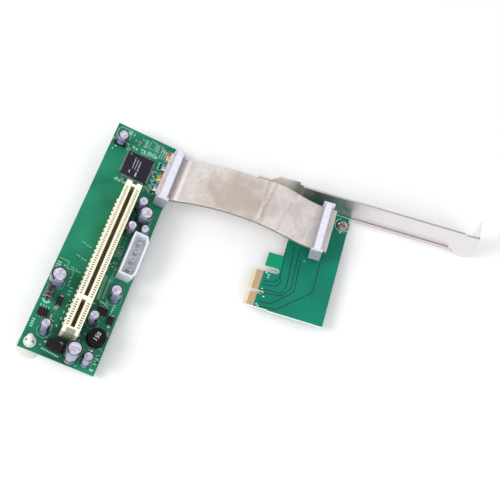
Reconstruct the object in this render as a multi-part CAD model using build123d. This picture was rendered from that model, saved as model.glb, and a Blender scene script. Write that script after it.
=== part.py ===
from build123d import *
import os
from math import sin, cos, radians, hypot

# ------------------------------------------------------------------
# Slot adapter: a short edge card with its slot bracket, a shielded
# 20-way ribbon, and a bridge board that carries one 32-bit slot.
# All lengths are in millimetres.
# Board frame:  X across the bridge board, Y along it, Z component side,
#               origin at the lower left corner of its top surface.
# Card frame:   X from the gold edge across the card, Y from its front
#               edge to the bracket, Z = 0 on the component side.
# Final frame:  +X along the bracket, +Z up, origin at the middle of the
#               footprint on the table.
# ------------------------------------------------------------------

# bridge board
BOARD_W, BOARD_L, PCB_T = 38.6, 131.5, 1.6
HOLE_X, HOLE_Y, HOLE_R = 4.6, 4.2, 1.9
# slot on the bridge board
SLOT_X, SLOT_W, SLOT_Y0, SLOT_Y1, SLOT_H = 19.7, 8.2, 11.8, 97.5, 11.6
PITCH = 1.27
FIRST_CONTACT_Y = 93.46
CONTACT_COUNT, KEY_FROM, KEY_TO = 62, 50, 51
GROOVE_W = 1.9
# controller package, 14 mm square with 32 leads a side
CHIP_X, CHIP_Y, CHIP_S, CHIP_H = 17.86, 111.44, 14.0, 1.4
LEAD_PITCH = 0.4
# ribbon connectors
CON_L, CON_W, CON_Z0, CON_BODY_TOP, CON_CAP_Z0, CON_H = 29.6, 6.0, 2.5, 9.65, 11.15, 14.4
EAR_TOP = 13.9
LYING_X, LYING_Y = 3.7, 26.6
MAIN_CON_X, MAIN_CON_Y = 35.5, 109.5
CARD_CON_X, CARD_CON_Y = 27.9, 48.3
# ribbon and its shield
RIBBON_W, RIBBON_T = 25.4, 0.86
WRAP_W, WRAP_T, WRAP_WALL = 26.4, 1.5, 0.28
# drive power header
HDR_X0, HDR_X1, HDR_Y0, HDR_Y1, HDR_H = 29.6, 38.1, 50.2, 74.0, 9.6
HDR_PITCH, HDR_PIN_D = 5.08, 2.1
# edge card
CARD_X1, CARD_Y0, CARD_Y1 = 41.4, -0.4, 65.9
BODY_X0 = 12.5
# bracket
BR_T, BR_Y = 0.86, 66.8
BR_Z0, BR_Z1 = -2.46, 15.96
BR_X0, BR_X1 = -13.0, 107.0
BR_TAB = 11.43
SCREW_R, SCREW_HEAD_R = 1.5, 2.95
SCREW_XY = [(37.9, 59.2), (17.0, 59.2)]

# pose of the two boards as they lie together, joined by the stiff ribbon
BOARD_POS = (-94.664, -58.912, 14.062)
BOARD_TURN, BOARD_PITCH, BOARD_ROLL = -1.25, 2.57, 16.17
CARD_LIFT = 3.79
# small turn and shift that stands the whole thing on its three feet
SETTLE_ROT = (-2.429684, -2.893364, -0.061370)
SETTLE_POS = (-4.428866, -9.493542, 2.113004)


def box(x0, x1, y0, y1, z0, z1):
    return Pos((x0 + x1) / 2, (y0 + y1) / 2, (z0 + z1) / 2) * Box(
        abs(x1 - x0), abs(y1 - y0), abs(z1 - z0))


def rod(x, y, z0, z1, r):
    return Pos(x, y, (z0 + z1) / 2) * Cylinder(r, z1 - z0)


def loop(pts, z=0.0):
    return Wire.make_polygon([Vector(x, y, z) for x, y in pts], close=True)


def rect_loop(x0, x1, y0, y1, z=0.0):
    return loop([(x0, y0), (x1, y0), (x1, y1), (x0, y1)], z)


def circle_loop(x, y, r, z=0.0):
    return Wire.make_circle(r, Plane(origin=(x, y, z)))


def plate(outer, holes, height):
    return Solid.extrude(Face(outer, holes), Vector(0, 0, height))


def solids(*things):
    out = []
    for t in things:
        out += list(t.solids())
    return out


def group(things):
    return Compound(children=solids(*things))


# ------------------------------------------------------------------
# bridge board
# ------------------------------------------------------------------
contact_y = [FIRST_CONTACT_Y - PITCH * (k - 1) for k in range(1, CONTACT_COUNT + 1)
             if not KEY_FROM <= k <= KEY_TO]
WINDOW_OFF = 2.75
TAIL = 0.2        # half width of a contact tail

con_pins = [(sx * 1.27, (i - 4.5) * 2.54) for i in range(10) for sx in (-1, 1)]
hdr_cy = 62.3
hdr_px = 33.9
hdr_pins = [(hdr_px, hdr_cy + (i - 1.5) * HDR_PITCH) for i in range(4)]

# radial capacitors: node name, base point, top point, can radius, lead spacing
CAPS = [
    ("capacitor_a", (27.6, 89.75, 0), (27.4, 89.85, 12.0), 2.65, 2.0),
    ("capacitor_b", (31.2, 84.0, 0), (31.0, 84.3, 12.5), 3.75, 3.5),
    ("capacitor_c", (27.2, 75.9, 0), (26.85, 75.17, 12.0), 2.5, 2.0),
    ("capacitor_d", (34.0, 77.7, 0), (33.6, 76.72, 10.6), 2.4, 2.0),
    ("capacitor_e", (33.47, 40.07, 0), (32.2, 40.41, 12.4), 3.15, 2.5),
    ("capacitor_f", (28.1, 24.3, 0), (26.95, 24.8, 12.4), 2.6, 2.0),
    ("capacitor_g", (24.79, 4.35, 0), (24.48, 5.31, 16.4), 3.9, 3.5),
    ("capacitor_h", (32.53, 4.18, 0), (31.96, 5.08, 12.4), 2.6, 2.0),
    ("capacitor_i", (4.4, 36.5, 0), (4.4, 36.5, 12.5), 4.0, 3.5),
    ("capacitor_k", (8.5, 11.3, 0), (7.9, 12.4, 11.5), 2.6, 2.0),
]
cap_leads = []
for _, b, t, r, s in CAPS:
    # the two leads sit across the board
    cap_leads += [(b[0] - s / 2, b[1]), (b[0] + s / 2, b[1])]
cap_leads += [(LYING_X - 1.0, LYING_Y - 0.7), (LYING_X + 1.0, LYING_Y - 0.7)]

board_holes = [circle_loop(HOLE_X, HOLE_Y, HOLE_R, -PCB_T)]
for y in contact_y:
    for s in (-1, 1):
        x = SLOT_X + s * WINDOW_OFF
        board_holes.append(rect_loop(x - TAIL, x + TAIL, y - TAIL, y + TAIL, -PCB_T))
for dx, dy in con_pins:
    x, y = MAIN_CON_X + dx, MAIN_CON_Y + dy
    board_holes.append(rect_loop(x - 0.32, x + 0.32, y - 0.32, y + 0.32, -PCB_T))
for x, y in hdr_pins:
    board_holes.append(circle_loop(x, y, 0.8, -PCB_T))
for x, y in cap_leads:
    board_holes.append(circle_loop(x, y, 0.3, -PCB_T))
bridge_board = plate(rect_loop(0, BOARD_W, 0, BOARD_L, -PCB_T), board_holes, PCB_T)

# solder domes under the board, one over each clipped tail
dome_small = Solid.make_cone(0.52, 0.26, 0.8)
dome_mid = Solid.make_cone(0.75, 0.36, 0.9)
dome_big = Solid.make_cone(1.5, 0.8, 1.1)


def domes(points, dome):
    flipped = dome.moved(Location((0, 0, 0), (180, 0, 0)))
    return [flipped.moved(Location((x, y, -PCB_T))) for x, y in points]


slot_pts = [(SLOT_X + s * WINDOW_OFF, y) for y in contact_y for s in (-1, 1)]
bridge_board_solder = group(
    domes(slot_pts, dome_small)
    + domes([(MAIN_CON_X + a, MAIN_CON_Y + b) for a, b in con_pins], dome_mid)
    + domes(cap_leads, dome_mid)
    + domes(hdr_pins, dome_big))

# ------------------------------------------------------------------
# 32-bit slot: a floor with tail holes, and walls with the card groove,
# its key bar and a window over each contact
# ------------------------------------------------------------------
sx0, sx1 = SLOT_X - SLOT_W / 2, SLOT_X + SLOT_W / 2
notch = 1.25
slot_outline = [(sx0, SLOT_Y0), (sx1, SLOT_Y0), (sx1, SLOT_Y1),
                (SLOT_X + notch, SLOT_Y1), (SLOT_X + notch, SLOT_Y1 - 1.3),
                (SLOT_X - notch, SLOT_Y1 - 1.3), (SLOT_X - notch, SLOT_Y1), (sx0, SLOT_Y1)]
FLOOR = 1.4
floor_holes = [rect_loop(x - TAIL, x + TAIL, y - TAIL, y + TAIL, 0.0) for x, y in slot_pts]
slot_floor = plate(loop(slot_outline, 0.0), floor_holes, FLOOR)
win = [rect_loop(x - 0.68, x + 0.68, y - 0.36, y + 0.36, FLOOR) for x, y in slot_pts]
grooves = [rect_loop(SLOT_X - GROOVE_W / 2, SLOT_X + GROOVE_W / 2, a, b, FLOOR)
           for a, b in ((15.4, 29.9), (32.0, 94.8))]
slot_walls = plate(loop(slot_outline, FLOOR), win + grooves, SLOT_H - FLOOR)
ribs = []
for i in range(29):
    y = 89.16 - 2.54 * i
    if y > SLOT_Y0 + 1.0:
        ribs.append(box(sx0 - 0.6, sx0, y - 0.55, y + 0.55, 0, 1.5))
        ribs.append(box(sx1, sx1 + 0.6, y - 0.55, y + 0.55, 0, 1.5))
pci_slot_housing = (slot_floor + slot_walls + ribs)
# sloped lead-in along both mouths of the groove
lead_in = []
for a, b in ((15.4, 29.9), (32.0, 94.8)):
    for s in (-1, 1):
        g = s * GROOVE_W / 2
        tri = Face(Wire.make_polygon([
            Vector(SLOT_X + g, a, SLOT_H - 0.7), Vector(SLOT_X + g, a, SLOT_H),
            Vector(SLOT_X + g + s * 0.3, a, SLOT_H)], close=True))
        lead_in.append(Solid.extrude(tri, Vector(0, b - a, 0)))
pci_slot_housing = pci_slot_housing - lead_in

# sprung contacts: tail through the board, stem and a blade in the window
contact_pieces = []
for x, y in slot_pts:
    s = 1 if x > SLOT_X else -1
    prof = [(-TAIL, -PCB_T), (TAIL, -PCB_T), (TAIL, 4.0), (-0.25 * s + 0.2, 10.3),
            (-0.25 * s - 0.2, 10.3), (-TAIL, 4.0)]
    f = Face(Wire.make_polygon([Vector(x + px, y - TAIL, pz) for px, pz in prof], close=True))
    contact_pieces.append(Solid.extrude(f, Vector(0, 2 * TAIL, 0)))
pci_slot_contacts = group(contact_pieces)

# ------------------------------------------------------------------
# controller package and leads
# ------------------------------------------------------------------


def package(cx, cy, w, l, z0, h, bevel):
    b = box(cx - w / 2, cx + w / 2, cy - l / 2, cy + l / 2, z0, z0 + h)
    return chamfer(b.faces().sort_by(Axis.Z)[-1].edges(), bevel)


def gull(out, drop, width, t, shoulder=0.25, foot=0.6):
    """Gull-wing lead from (0, 0, drop) running along +X for out."""
    k = out - foot
    pts = [(0, drop - t / 2), (shoulder, drop - t / 2), (k, 0), (out, 0), (out, t),
           (k + t * 0.5, t), (shoulder + t * 0.5, drop + t / 2), (0, drop + t / 2)]
    f = Face(Wire.make_polygon([Vector(x, -width / 2, z) for x, z in pts], close=True))
    return Solid.extrude(f, Vector(0, width, 0))


def lead_rows(cx, cy, w, l, n, pitch, lead, sides):
    out = []
    for side in sides:
        for i in range(n):
            d = (i - (n - 1) / 2) * pitch
            if side == "E":
                loc = Location((cx + w / 2, cy + d, 0))
            elif side == "W":
                loc = Location((cx - w / 2, cy + d, 0), (0, 0, 180))
            elif side == "N":
                loc = Location((cx + d, cy + l / 2, 0), (0, 0, 90))
            else:
                loc = Location((cx + d, cy - l / 2, 0), (0, 0, -90))
            out.append(lead.moved(loc))
    return out


bridge_chip = package(CHIP_X, CHIP_Y, CHIP_S, CHIP_S, 0.1, CHIP_H, 0.25)
bridge_chip_leads = group(lead_rows(CHIP_X, CHIP_Y, CHIP_S, CHIP_S, 32, LEAD_PITCH,
                                    gull(1.0, 0.7, 0.2, 0.14), "EWNS"))

# ------------------------------------------------------------------
# drive power header: open-topped shroud with two cut corners, four pins
# ------------------------------------------------------------------
hw, cut = 1.0, 3.1
hdr_out = [(HDR_X0, HDR_Y0), (HDR_X1 - 1.5, HDR_Y0), (HDR_X1, HDR_Y0 + cut), (HDR_X1, HDR_Y1 - cut),
           (HDR_X1 - 1.5, HDR_Y1), (HDR_X0, HDR_Y1)]
hdr_in = [(HDR_X0 + hw, HDR_Y0 + hw), (HDR_X1 - 1.5 - 0.4, HDR_Y0 + hw), (HDR_X1 - hw, HDR_Y0 + cut + 0.3),
          (HDR_X1 - hw, HDR_Y1 - cut - 0.3), (HDR_X1 - 1.5 - 0.4, HDR_Y1 - hw), (HDR_X0 + hw, HDR_Y1 - hw)]
HDR_FLOOR = 2.0
hdr_floor = plate(loop(hdr_out, 0), [circle_loop(x, y, 0.8, 0) for x, y in hdr_pins], HDR_FLOOR)
hdr_wall = plate(loop(hdr_out, HDR_FLOOR), [loop(hdr_in, HDR_FLOOR)], HDR_H - HDR_FLOOR)
power_header_housing = hdr_floor + hdr_wall
pin_list = []
for x, y in hdr_pins:
    p = rod(x, y, HDR_FLOOR, 8.0, HDR_PIN_D / 2)
    p = chamfer(p.edges().sort_by(Axis.Z)[-1], 0.45)
    pin_list.append(p + rod(x, y, -PCB_T, HDR_FLOOR, 0.8))
power_header_pins = group(pin_list)

# ------------------------------------------------------------------
# ribbon connector: pin base, pins, socket body, its contacts and cap
# ------------------------------------------------------------------


def connector(cx, cy):
    px = [(cx + a, cy + b) for a, b in con_pins]
    base = plate(rect_loop(cx - 2.55, cx + 2.55, cy - 12.7, cy + 12.7, 0.0),
                 [rect_loop(x - 0.32, x + 0.32, y - 0.32, y + 0.32, 0.0) for x, y in px], CON_Z0)
    pins = group([box(x - 0.32, x + 0.32, y - 0.32, y + 0.32, -PCB_T, 8.4) for x, y in px])
    hl, hw_ = CON_L / 2, CON_W / 2
    # socket body: pockets from below, closed above, ears at both ends
    low = plate(rect_loop(cx - hw_, cx + hw_, cy - hl, cy + hl, CON_Z0),
                [rect_loop(x - 0.55, x + 0.55, y - 0.32, y + 0.62, CON_Z0) for x, y in px], 6.2)
    top = box(cx - hw_, cx + hw_, cy - hl, cy + hl, CON_Z0 + 6.2, CON_BODY_TOP)
    ears = [box(cx - hw_, cx + hw_, cy + s * (WRAP_W / 2 + 0.15), cy + s * hl, CON_BODY_TOP, EAR_TOP)
            for s in (-1, 1)]
    body = low + top + ears
    # slots in the ears where the cap's legs snap in
    legs_cut = [box(cx - 1.9, cx + 1.9, cy + s * (WRAP_W / 2 + 0.15), cy + s * (hl - 0.5), 7.6, EAR_TOP)
                for s in (-1, 1)]
    # small square recess beside each leg
    recess = [box(cx - hw_, cx - 1.9, cy + s * (WRAP_W / 2 + 0.15), cy + s * (hl - 0.65), CON_BODY_TOP + 1.4, EAR_TOP)
              for s in (-1, 1)]
    body = body - legs_cut - recess
    leaves = group([box(x - 0.32, x + 0.32, y + 0.32, y + 0.52, CON_Z0 + 0.4, 8.6) for x, y in px])
    # cap: bar over the ribbon with a leg at each end
    cap = box(cx - 1.8, cx + 1.8, cy - hl + 0.55, cy + hl - 0.55, CON_CAP_Z0 + 1.45, CON_H)
    cap = chamfer(cap.edges().filter_by(Axis.Y).sort_by(Axis.Z)[-2:], 0.35)
    cap = cap + box(cx - 1.8, cx + 1.8, cy - WRAP_W / 2 - 0.1, cy + WRAP_W / 2 + 0.1, CON_CAP_Z0, CON_CAP_Z0 + 1.45)
    cap = cap + [box(cx - 1.5, cx + 1.5, cy + s * (WRAP_W / 2 + 0.2), cy + s * (hl - 0.6), 7.8,
                     CON_CAP_Z0 + 1.45) for s in (-1, 1)]
    return base, pins, body, leaves, cap


(main_header_base, main_header_pins, main_socket_body, main_socket_contacts,
 main_socket_cap) = connector(MAIN_CON_X, MAIN_CON_Y)

# ------------------------------------------------------------------
# capacitors
# ------------------------------------------------------------------


def can(b, t, r):
    """Rolled can along the line from b to t, with its crimp groove."""
    ax = Vector(*t) - Vector(*b)
    h = ax.length
    u = ax.normalized()
    lift = 0.35 + r * hypot(u.X, u.Y)
    h -= lift
    prof = [(0, 0), (r - 0.25, 0), (r, 0.25), (r, 1.5), (r - 0.3, 1.8), (r - 0.3, 2.0), (r, 2.3),
            (r, h - 0.35), (r - 0.35, h), (r - 0.75, h), (r - 0.85, h - 0.12), (0, h - 0.12)]
    f = Face(Wire.make_polygon([Vector(x, 0, z) for x, z in prof], close=True))
    body = revolve(f, Axis.Z)
    pl = Plane(origin=Vector(*b) + u * lift, z_dir=u)
    return body.moved(pl.location)


M = {}
lead_list = []
for name, b, t, r, s in CAPS:
    c = can(b, t, r)
    M[name] = c
    for dx in (-s / 2, s / 2):
        wire = rod(b[0] + dx, b[1], -PCB_T, 2.2, 0.3) - c
        lead_list.append(wire.solids().sort_by(Axis.Z)[0])
# small can lying on the board, its seal towards the lower edge
jx, jy, jz, jr = LYING_X, LYING_Y, 2.45, 2.35
jp = [(0, 0), (jr - 0.3, 0), (jr, 0.25), (jr, 0.9), (jr - 0.25, 1.15), (jr - 0.25, 1.3), (jr, 1.55), (jr, 5.3),
      (jr - 0.3, 5.6), (0, 5.6)]
can_j = revolve(Face(Wire.make_polygon([Vector(x, 0, z) for x, z in jp], close=True)), Axis.Z)
can_j = can_j.moved(Plane(origin=(jx, jy, jz), z_dir=(0, 1, 0)).location)
M["capacitor_j"] = can_j
for dx in (-1.0, 1.0):
    lead_list.append(rod(jx + dx, jy - 0.7, -PCB_T, jz + 0.2, 0.3)
                     + box(jx + dx - 0.2, jx + dx + 0.2, jy - 0.7, jy, jz - 0.2, jz + 0.2))
M["capacitor_leads"] = group(lead_list)

# chip-mounted capacitor in the corner: can on a square base
c1 = (4.75, 121.75)
base1 = Pos(c1[0], c1[1], 0.85) * Box(6.2, 6.2, 1.3)
base1 = chamfer(base1.edges().filter_by(Axis.Z).sort_by(Axis.Y)[-2:], 1.1)
ring = rod(c1[0], c1[1], 1.2, 1.5, 3.0)
M["capacitor_corner_base"] = base1 - ring
h1 = 8.0
f = Face(Wire.make_polygon([Vector(x, 0, z) for x, z in [
    (0, 0), (3.0, 0), (3.0, 0.8), (2.8, 1.0), (2.8, 1.15), (3.0, 1.35), (3.0, h1 - 1.2 - 0.35),
    (2.65, h1 - 1.2), (0, h1 - 1.2)]], close=True))
M["capacitor_corner"] = revolve(f, Axis.Z).moved(Location((c1[0], c1[1], 1.2)))
M["capacitor_corner_terminals"] = group([
    box(c1[0] - 3.8, c1[0] - 1.2, c1[1] - 0.6, c1[1] + 0.6, 0, 0.2),
    box(c1[0] + 1.2, c1[0] + 3.8, c1[1] - 0.6, c1[1] + 0.6, 0, 0.2)])

# ------------------------------------------------------------------
# power inductor: ferrite drum, winding and two terminals
# ------------------------------------------------------------------
ix, iy = 32.6, 16.9
M["inductor_core"] = (rod(ix, iy, 0.3, 1.6, 4.6) + rod(ix, iy, 1.6, 5.3, 2.6) + rod(ix, iy, 5.3, 6.8, 4.4))
M["inductor_winding"] = rod(ix, iy, 1.6, 5.3, 3.9) - rod(ix, iy, 1.6, 5.3, 2.6)
M["inductor_terminals"] = group([box(ix - 1.3, ix + 1.3, iy - 5.3, iy - 2.6, 0, 0.3),
                                 box(ix - 1.3, ix + 1.3, iy + 2.6, iy + 5.1, 0, 0.3)])

# ------------------------------------------------------------------
# two eight-lead drivers, two diodes, one regulator, chip parts
# ------------------------------------------------------------------
so8 = gull(1.05, 0.75, 0.42, 0.2, 0.3, 0.5)
M["driver_right"] = package(30.6, 31.1, 4.9, 3.9, 0.15, 1.45, 0.3)
M["driver_left"] = package(4.5, 19.5, 4.9, 3.9, 0.15, 1.45, 0.3)
M["driver_leads"] = group(lead_rows(30.6, 31.1, 4.9, 3.9, 4, 1.27, so8, "NS")
                          + lead_rows(4.5, 19.5, 4.9, 3.9, 4, 1.27, so8, "NS"))
M["diode_right"] = package(35.9, 28.3, 2.7, 4.4, 0.15, 2.1, 0.3)
M["diode_left"] = package(9.6, 27.6, 2.7, 4.4, 0.15, 2.1, 0.3)
dl = gull(0.9, 1.0, 1.5, 0.2, 0.2, 0.45)
M["diode_leads"] = group(lead_rows(35.9, 28.3, 2.7, 4.4, 1, 1, dl, "NS")
                         + lead_rows(9.6, 27.6, 2.7, 4.4, 1, 1, dl, "NS"))
M["regulator"] = package(17.3, 7.0, 6.2, 6.6, 0.12, 2.3, 0.35)
# a folded terminal on each end, wrapped up the side of the block
M["regulator_tab_and_leads"] = group(
    [box(17.3 - 3.1 - 2.3, 17.3 - 3.1, 7.0 - 2.2, 7.0 + 2.2, 0, 1.5),
     box(17.3 + 3.1, 17.3 + 3.1 + 0.35, 7.0 - 1.6, 7.0 + 1.6, 0, 1.2)])

chips = [(8.9, 18.9, 1.25, 2.0, 1.0), (9.3, 23.5, 2.0, 1.25, 0.8), (26.3, 128.2, 1.25, 2.0, 0.6),
         (26.0, 102.5, 2.0, 1.25, 0.7), (26.6, 112.0, 1.25, 2.0, 0.7), (11.0, 13.9, 1.25, 2.0, 0.8),
         (27.4, 62.8, 2.0, 1.25, 0.6), (26.9, 57.0, 2.0, 1.25, 0.6), (24.8, 52.6, 0.8, 1.6, 0.5),
         (13.2, 101.0, 1.25, 2.0, 0.6), (37.0, 21.6, 1.25, 2.0, 0.7), (14.1, 125.6, 2.0, 1.25, 0.6)]
body_list, end_list = [], []
for x, y, w, l, h in chips:
    e = 0.35
    if l > w:
        body_list.append(box(x - w / 2, x + w / 2, y - l / 2 + e, y + l / 2 - e, 0, h))
        end_list += [box(x - w / 2, x + w / 2, y + s * (l / 2 - e), y + s * l / 2, 0, h) for s in (-1, 1)]
    else:
        body_list.append(box(x - w / 2 + e, x + w / 2 - e, y - l / 2, y + l / 2, 0, h))
        end_list += [box(x + s * (w / 2 - e), x + s * w / 2, y - l / 2, y + l / 2, 0, h) for s in (-1, 1)]
M["chip_components"] = group(body_list)
M["chip_component_ends"] = group(end_list)

# ------------------------------------------------------------------
# nylon standoff: snap head above the board, collar, post and round foot
# ------------------------------------------------------------------
FOOT_Z = -10.8
prof = [(0, FOOT_Z - 1.0), (5.84, FOOT_Z - 1.0), (5.84, FOOT_Z - 0.2), (5.3, FOOT_Z), (2.4, FOOT_Z),
        (2.2, FOOT_Z + 0.4), (2.2, -2.8), (3.0, -2.8), (3.0, -PCB_T), (1.85, -PCB_T), (1.85, 0.0),
        (2.2, 0.15), (2.2, 0.8), (1.5, 1.6), (0, 1.6)]
f = Face(Wire.make_polygon([Vector(x, 0, z) for x, z in prof], close=True))
standoff = revolve(f, Axis.Z).moved(Location((HOLE_X, HOLE_Y, 0)))
# the catch leans away from the board's edge
catch = Plane(origin=(HOLE_X, HOLE_Y, 0.2), z_dir=(-0.8, 1.8, 4.6))
standoff = standoff + Solid.make_cylinder(1.4, 4.4, catch) + Solid.make_cone(1.4, 0.9, 0.6, catch.offset(4.4))
standoff = standoff - box(HOLE_X - 3, HOLE_X + 3, HOLE_Y - 0.4, HOLE_Y + 0.4, -1.2, 1.9)
M["board_standoff"] = standoff

M.update({
    "bridge_board": bridge_board, "bridge_board_solder": bridge_board_solder,
    "pci_slot_housing": pci_slot_housing, "pci_slot_contacts": pci_slot_contacts,
    "bridge_chip": bridge_chip, "bridge_chip_leads": bridge_chip_leads,
    "power_header_housing": power_header_housing, "power_header_pins": power_header_pins,
    "main_header_base": main_header_base, "main_header_pins": main_header_pins,
    "main_socket_body": main_socket_body, "main_socket_contacts": main_socket_contacts,
    "main_socket_cap": main_socket_cap})

# ------------------------------------------------------------------
# edge card
# ------------------------------------------------------------------
C = {}
KEY0, KEY1, FING = 7.4, 9.3, 20.6
GOLD_X, BEVEL_X, BEVEL_Z = -0.35, 1.35, 0.5   # gold edge, and the bevel that leads it in


def arc_pts(cx, cy, r, a0, a1, n=8):
    return [(cx + r * cos(radians(a0 + (a1 - a0) * i / n)), cy + r * sin(radians(a0 + (a1 - a0) * i / n)))
            for i in range(n + 1)]


outline = [(GOLD_X + 0.4, 0.0), (BODY_X0, 0.0), (BODY_X0 + 0.2, CARD_Y0), (CARD_X1, CARD_Y0), (CARD_X1, CARD_Y1),
           (BODY_X0, CARD_Y1), (BODY_X0, 32.0), (4.7, 32.0), (4.7, 23.8)]
outline += arc_pts(11.2, 22.2, 1.6, 90, -90)
outline += [(GOLD_X + 0.4, FING), (GOLD_X, FING - 0.4), (GOLD_X, KEY1)]
outline += arc_pts(7.45, (KEY0 + KEY1) / 2, (KEY1 - KEY0) / 2, 90, -90)
outline += [(GOLD_X, KEY0), (GOLD_X, 0.4)]
card_holes = [circle_loop(x, y, SCREW_R + 0.1, -PCB_T) for x, y in SCREW_XY]
for dx, dy in con_pins:
    x, y = CARD_CON_X + dx, CARD_CON_Y + dy
    card_holes.append(rect_loop(x - 0.32, x + 0.32, y - 0.32, y + 0.32, -PCB_T))
edge_card = plate(loop(outline, -PCB_T), card_holes, PCB_T)
# bevelled gold edge
bevels = []
for z, s in ((0.0, -1), (-PCB_T, 1)):
    tri = Face(Wire.make_polygon([Vector(GOLD_X - 0.01, -1, z), Vector(BEVEL_X, -1, z), Vector(GOLD_X - 0.01, -1, z + s * BEVEL_Z)],
                                 close=True))
    bevels.append(Solid.extrude(tri, Vector(0, FING + 1.2, 0)))
C["edge_card"] = edge_card - bevels

fy = [0.7 + i for i in range(7)] + [9.95 + i for i in range(11)]
C["edge_card_fingers"] = group([box(1.45, 5.0, y - 0.35, y + 0.35, 0, 0.05) for y in fy]
                               + [box(1.45, 5.0, y - 0.35, y + 0.35, -PCB_T - 0.05, -PCB_T) for y in fy])
C["edge_card_solder"] = group(domes([(CARD_CON_X + a, CARD_CON_Y + b) for a, b in con_pins], dome_mid))
(C["card_header_base"], C["card_header_pins"], C["card_socket_body"], C["card_socket_contacts"],
 C["card_socket_cap"]) = connector(CARD_CON_X, CARD_CON_Y)

# ------------------------------------------------------------------
# bracket: one folded sheet
# ------------------------------------------------------------------
y0, y1 = BR_Y, BR_Y + BR_T
face_pts = [(BR_X0 + 1.6, BR_Z0), (98.0, BR_Z0), (98.6, -2.9), (99.2, -5.9), (100.6, -7.3), (102.0, -7.5),
            (104.2, -7.5), (105.5, -7.1), (106.5, -6.3), (BR_X1, -5.2), (BR_X1, 14.1), (101.2, 14.1), (99.7, 15.2), (99.7, BR_Z1), (12.2, BR_Z1),
            (11.6, BR_Z1 - 0.8), (10.6, BR_Z1 - 0.8), (10.0, 17.5), (-1.3, 17.5), (-5.9, 12.5),
            (BR_X0 + 1.0, 12.5), (BR_X0, 11.3), (BR_X0, BR_Z0 + 1.6)]
face = Face(Wire.make_polygon([Vector(x, y0, z) for x, z in face_pts], close=True))
bracket = Solid.extrude(face, Vector(0, BR_T, 0))


def lip(x0, x1, z_out, s, depth):
    """Quarter-bend and flat lip running towards the card from one long edge."""
    r = 1.0
    pts = []
    zc = z_out - s * r
    for i in range(7):
        a = radians(90 * i / 6)
        pts.append((y1 - r + r * cos(a), zc + s * r * sin(a)))
    pts.append((y1 - depth, z_out))
    pts.append((y1 - depth, z_out - s * BR_T))
    pts.append((y1 - r, z_out - s * BR_T))
    pts.append((y1 - r, zc))
    f = Face(Wire.make_polygon([Vector(x0, y, z) for y, z in pts], close=True))
    return Solid.extrude(f, Vector(x1 - x0, 0, 0))


def corner(x0, x1, z_out, s):
    """Waste outside the quarter-bend, to be removed from the flat plate."""
    r = 1.0
    zc = z_out - s * r
    pts = [(y1 - r, z_out)] + [(y1 - r + r * cos(radians(90 * i / 6)), zc + s * r * sin(radians(90 * i / 6)))
                               for i in range(6, -1, -1)] + [(y1 + 0.02, zc), (y1 + 0.02, z_out + s * 0.02),
                                                             (y1 - r, z_out + s * 0.02)]
    f = Face(Wire.make_polygon([Vector(x0, y, z) for y, z in pts], close=True))
    return Solid.extrude(f, Vector(x1 - x0, 0, 0))


bracket = bracket - [corner(12.2, 99.7, BR_Z1, 1), corner(-11.0, 95.8, BR_Z0, -1)]
bracket = bracket + [lip(12.2, 99.7, BR_Z1, 1, 1.6), lip(-11.0, 95.8, BR_Z0, -1, 3.1)]
# chassis tab, folded away from the card, with its open screw notch
tab_pts = [(y0, -5.2), (y0 + BR_T + 0.3, -5.2), (y0 + 1.9, -6.9), (y0 + 2.9, -7.5), (y0 + BR_TAB - 1.0, -7.5), (y0 + BR_TAB, -6.5), (y0 + BR_TAB, 13.1),
           (y0 + BR_TAB - 1.0, 14.1), (y0, 14.1)]
tab = Solid.extrude(Face(Wire.make_polygon([Vector(BR_X1, y, z) for y, z in tab_pts], close=True)),
                    Vector(BR_T, 0, 0))
NOTCH_Y, NOTCH_Z, NOTCH_R = y0 + 6.35, -4.2, 2.2
tab = tab - [Pos(BR_X1 + BR_T / 2, NOTCH_Y, NOTCH_Z) * Rot(0, 90, 0) * Cylinder(NOTCH_R, 4),
             box(BR_X1 - 2, BR_X1 + 3, NOTCH_Y - NOTCH_R, NOTCH_Y + NOTCH_R, -9, NOTCH_Z)]
bracket = bracket + tab
# two ears under the card that take the screws
for x, y in SCREW_XY:
    ear = box(x - 4.5, x + 4.5, y, y1 - 2.9, BR_Z0, BR_Z0 + BR_T) + rod(x, y, BR_Z0, BR_Z0 + BR_T, 4.5)
    bracket = bracket + ear
bracket = bracket - [rod(x, y, BR_Z0 - 1, BR_Z0 + BR_T + 1, SCREW_R) for x, y in SCREW_XY]
C["card_bracket"] = bracket

screw_list = []
for x, y in SCREW_XY:
    prof = [(0, -4.2), (1.1, -4.2), (SCREW_R, -3.8), (SCREW_R, 0), (SCREW_HEAD_R, 0), (SCREW_HEAD_R, 1.0),
            (2.5, 1.7), (1.6, 2.05), (0, 2.15)]
    f = Face(Wire.make_polygon([Vector(px_, 0, pz) for px_, pz in prof], close=True))
    s = revolve(f, Axis.Z).moved(Location((x, y, 0)))
    s = s - [box(x - 1.5, x + 1.5, y - 0.3, y + 0.3, 1.1, 3), box(x - 0.3, x + 0.3, y - 1.5, y + 1.5, 1.1, 3)]
    screw_list.append(s)
C["bracket_screws"] = group(screw_list)

# ------------------------------------------------------------------
# ribbon and shield: sections along the route between the connectors
# ------------------------------------------------------------------
board_loc = Pos(*BOARD_POS) * Rot(0, 0, BOARD_TURN) * Rot(BOARD_PITCH, 0, 0) * Rot(0, BOARD_ROLL, 0)
card_loc = Pos(0, 0, CARD_LIFT)


def at(loc, x, y, z):
    return (loc * Pos(x, y, z)).position


ZR = (CON_BODY_TOP + CON_CAP_Z0) / 2
hr = RIBBON_W / 2


def pair(loc, x, cy):
    return at(loc, x, cy + hr, ZR), at(loc, x, cy - hr, ZR)


stub_m, wrap_m = 29.4, 31.2
stub_c, wrap_c = 32.3, 32.8
m_out, c_in = MAIN_CON_X + CON_W / 2, CARD_CON_X - CON_W / 2
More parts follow.
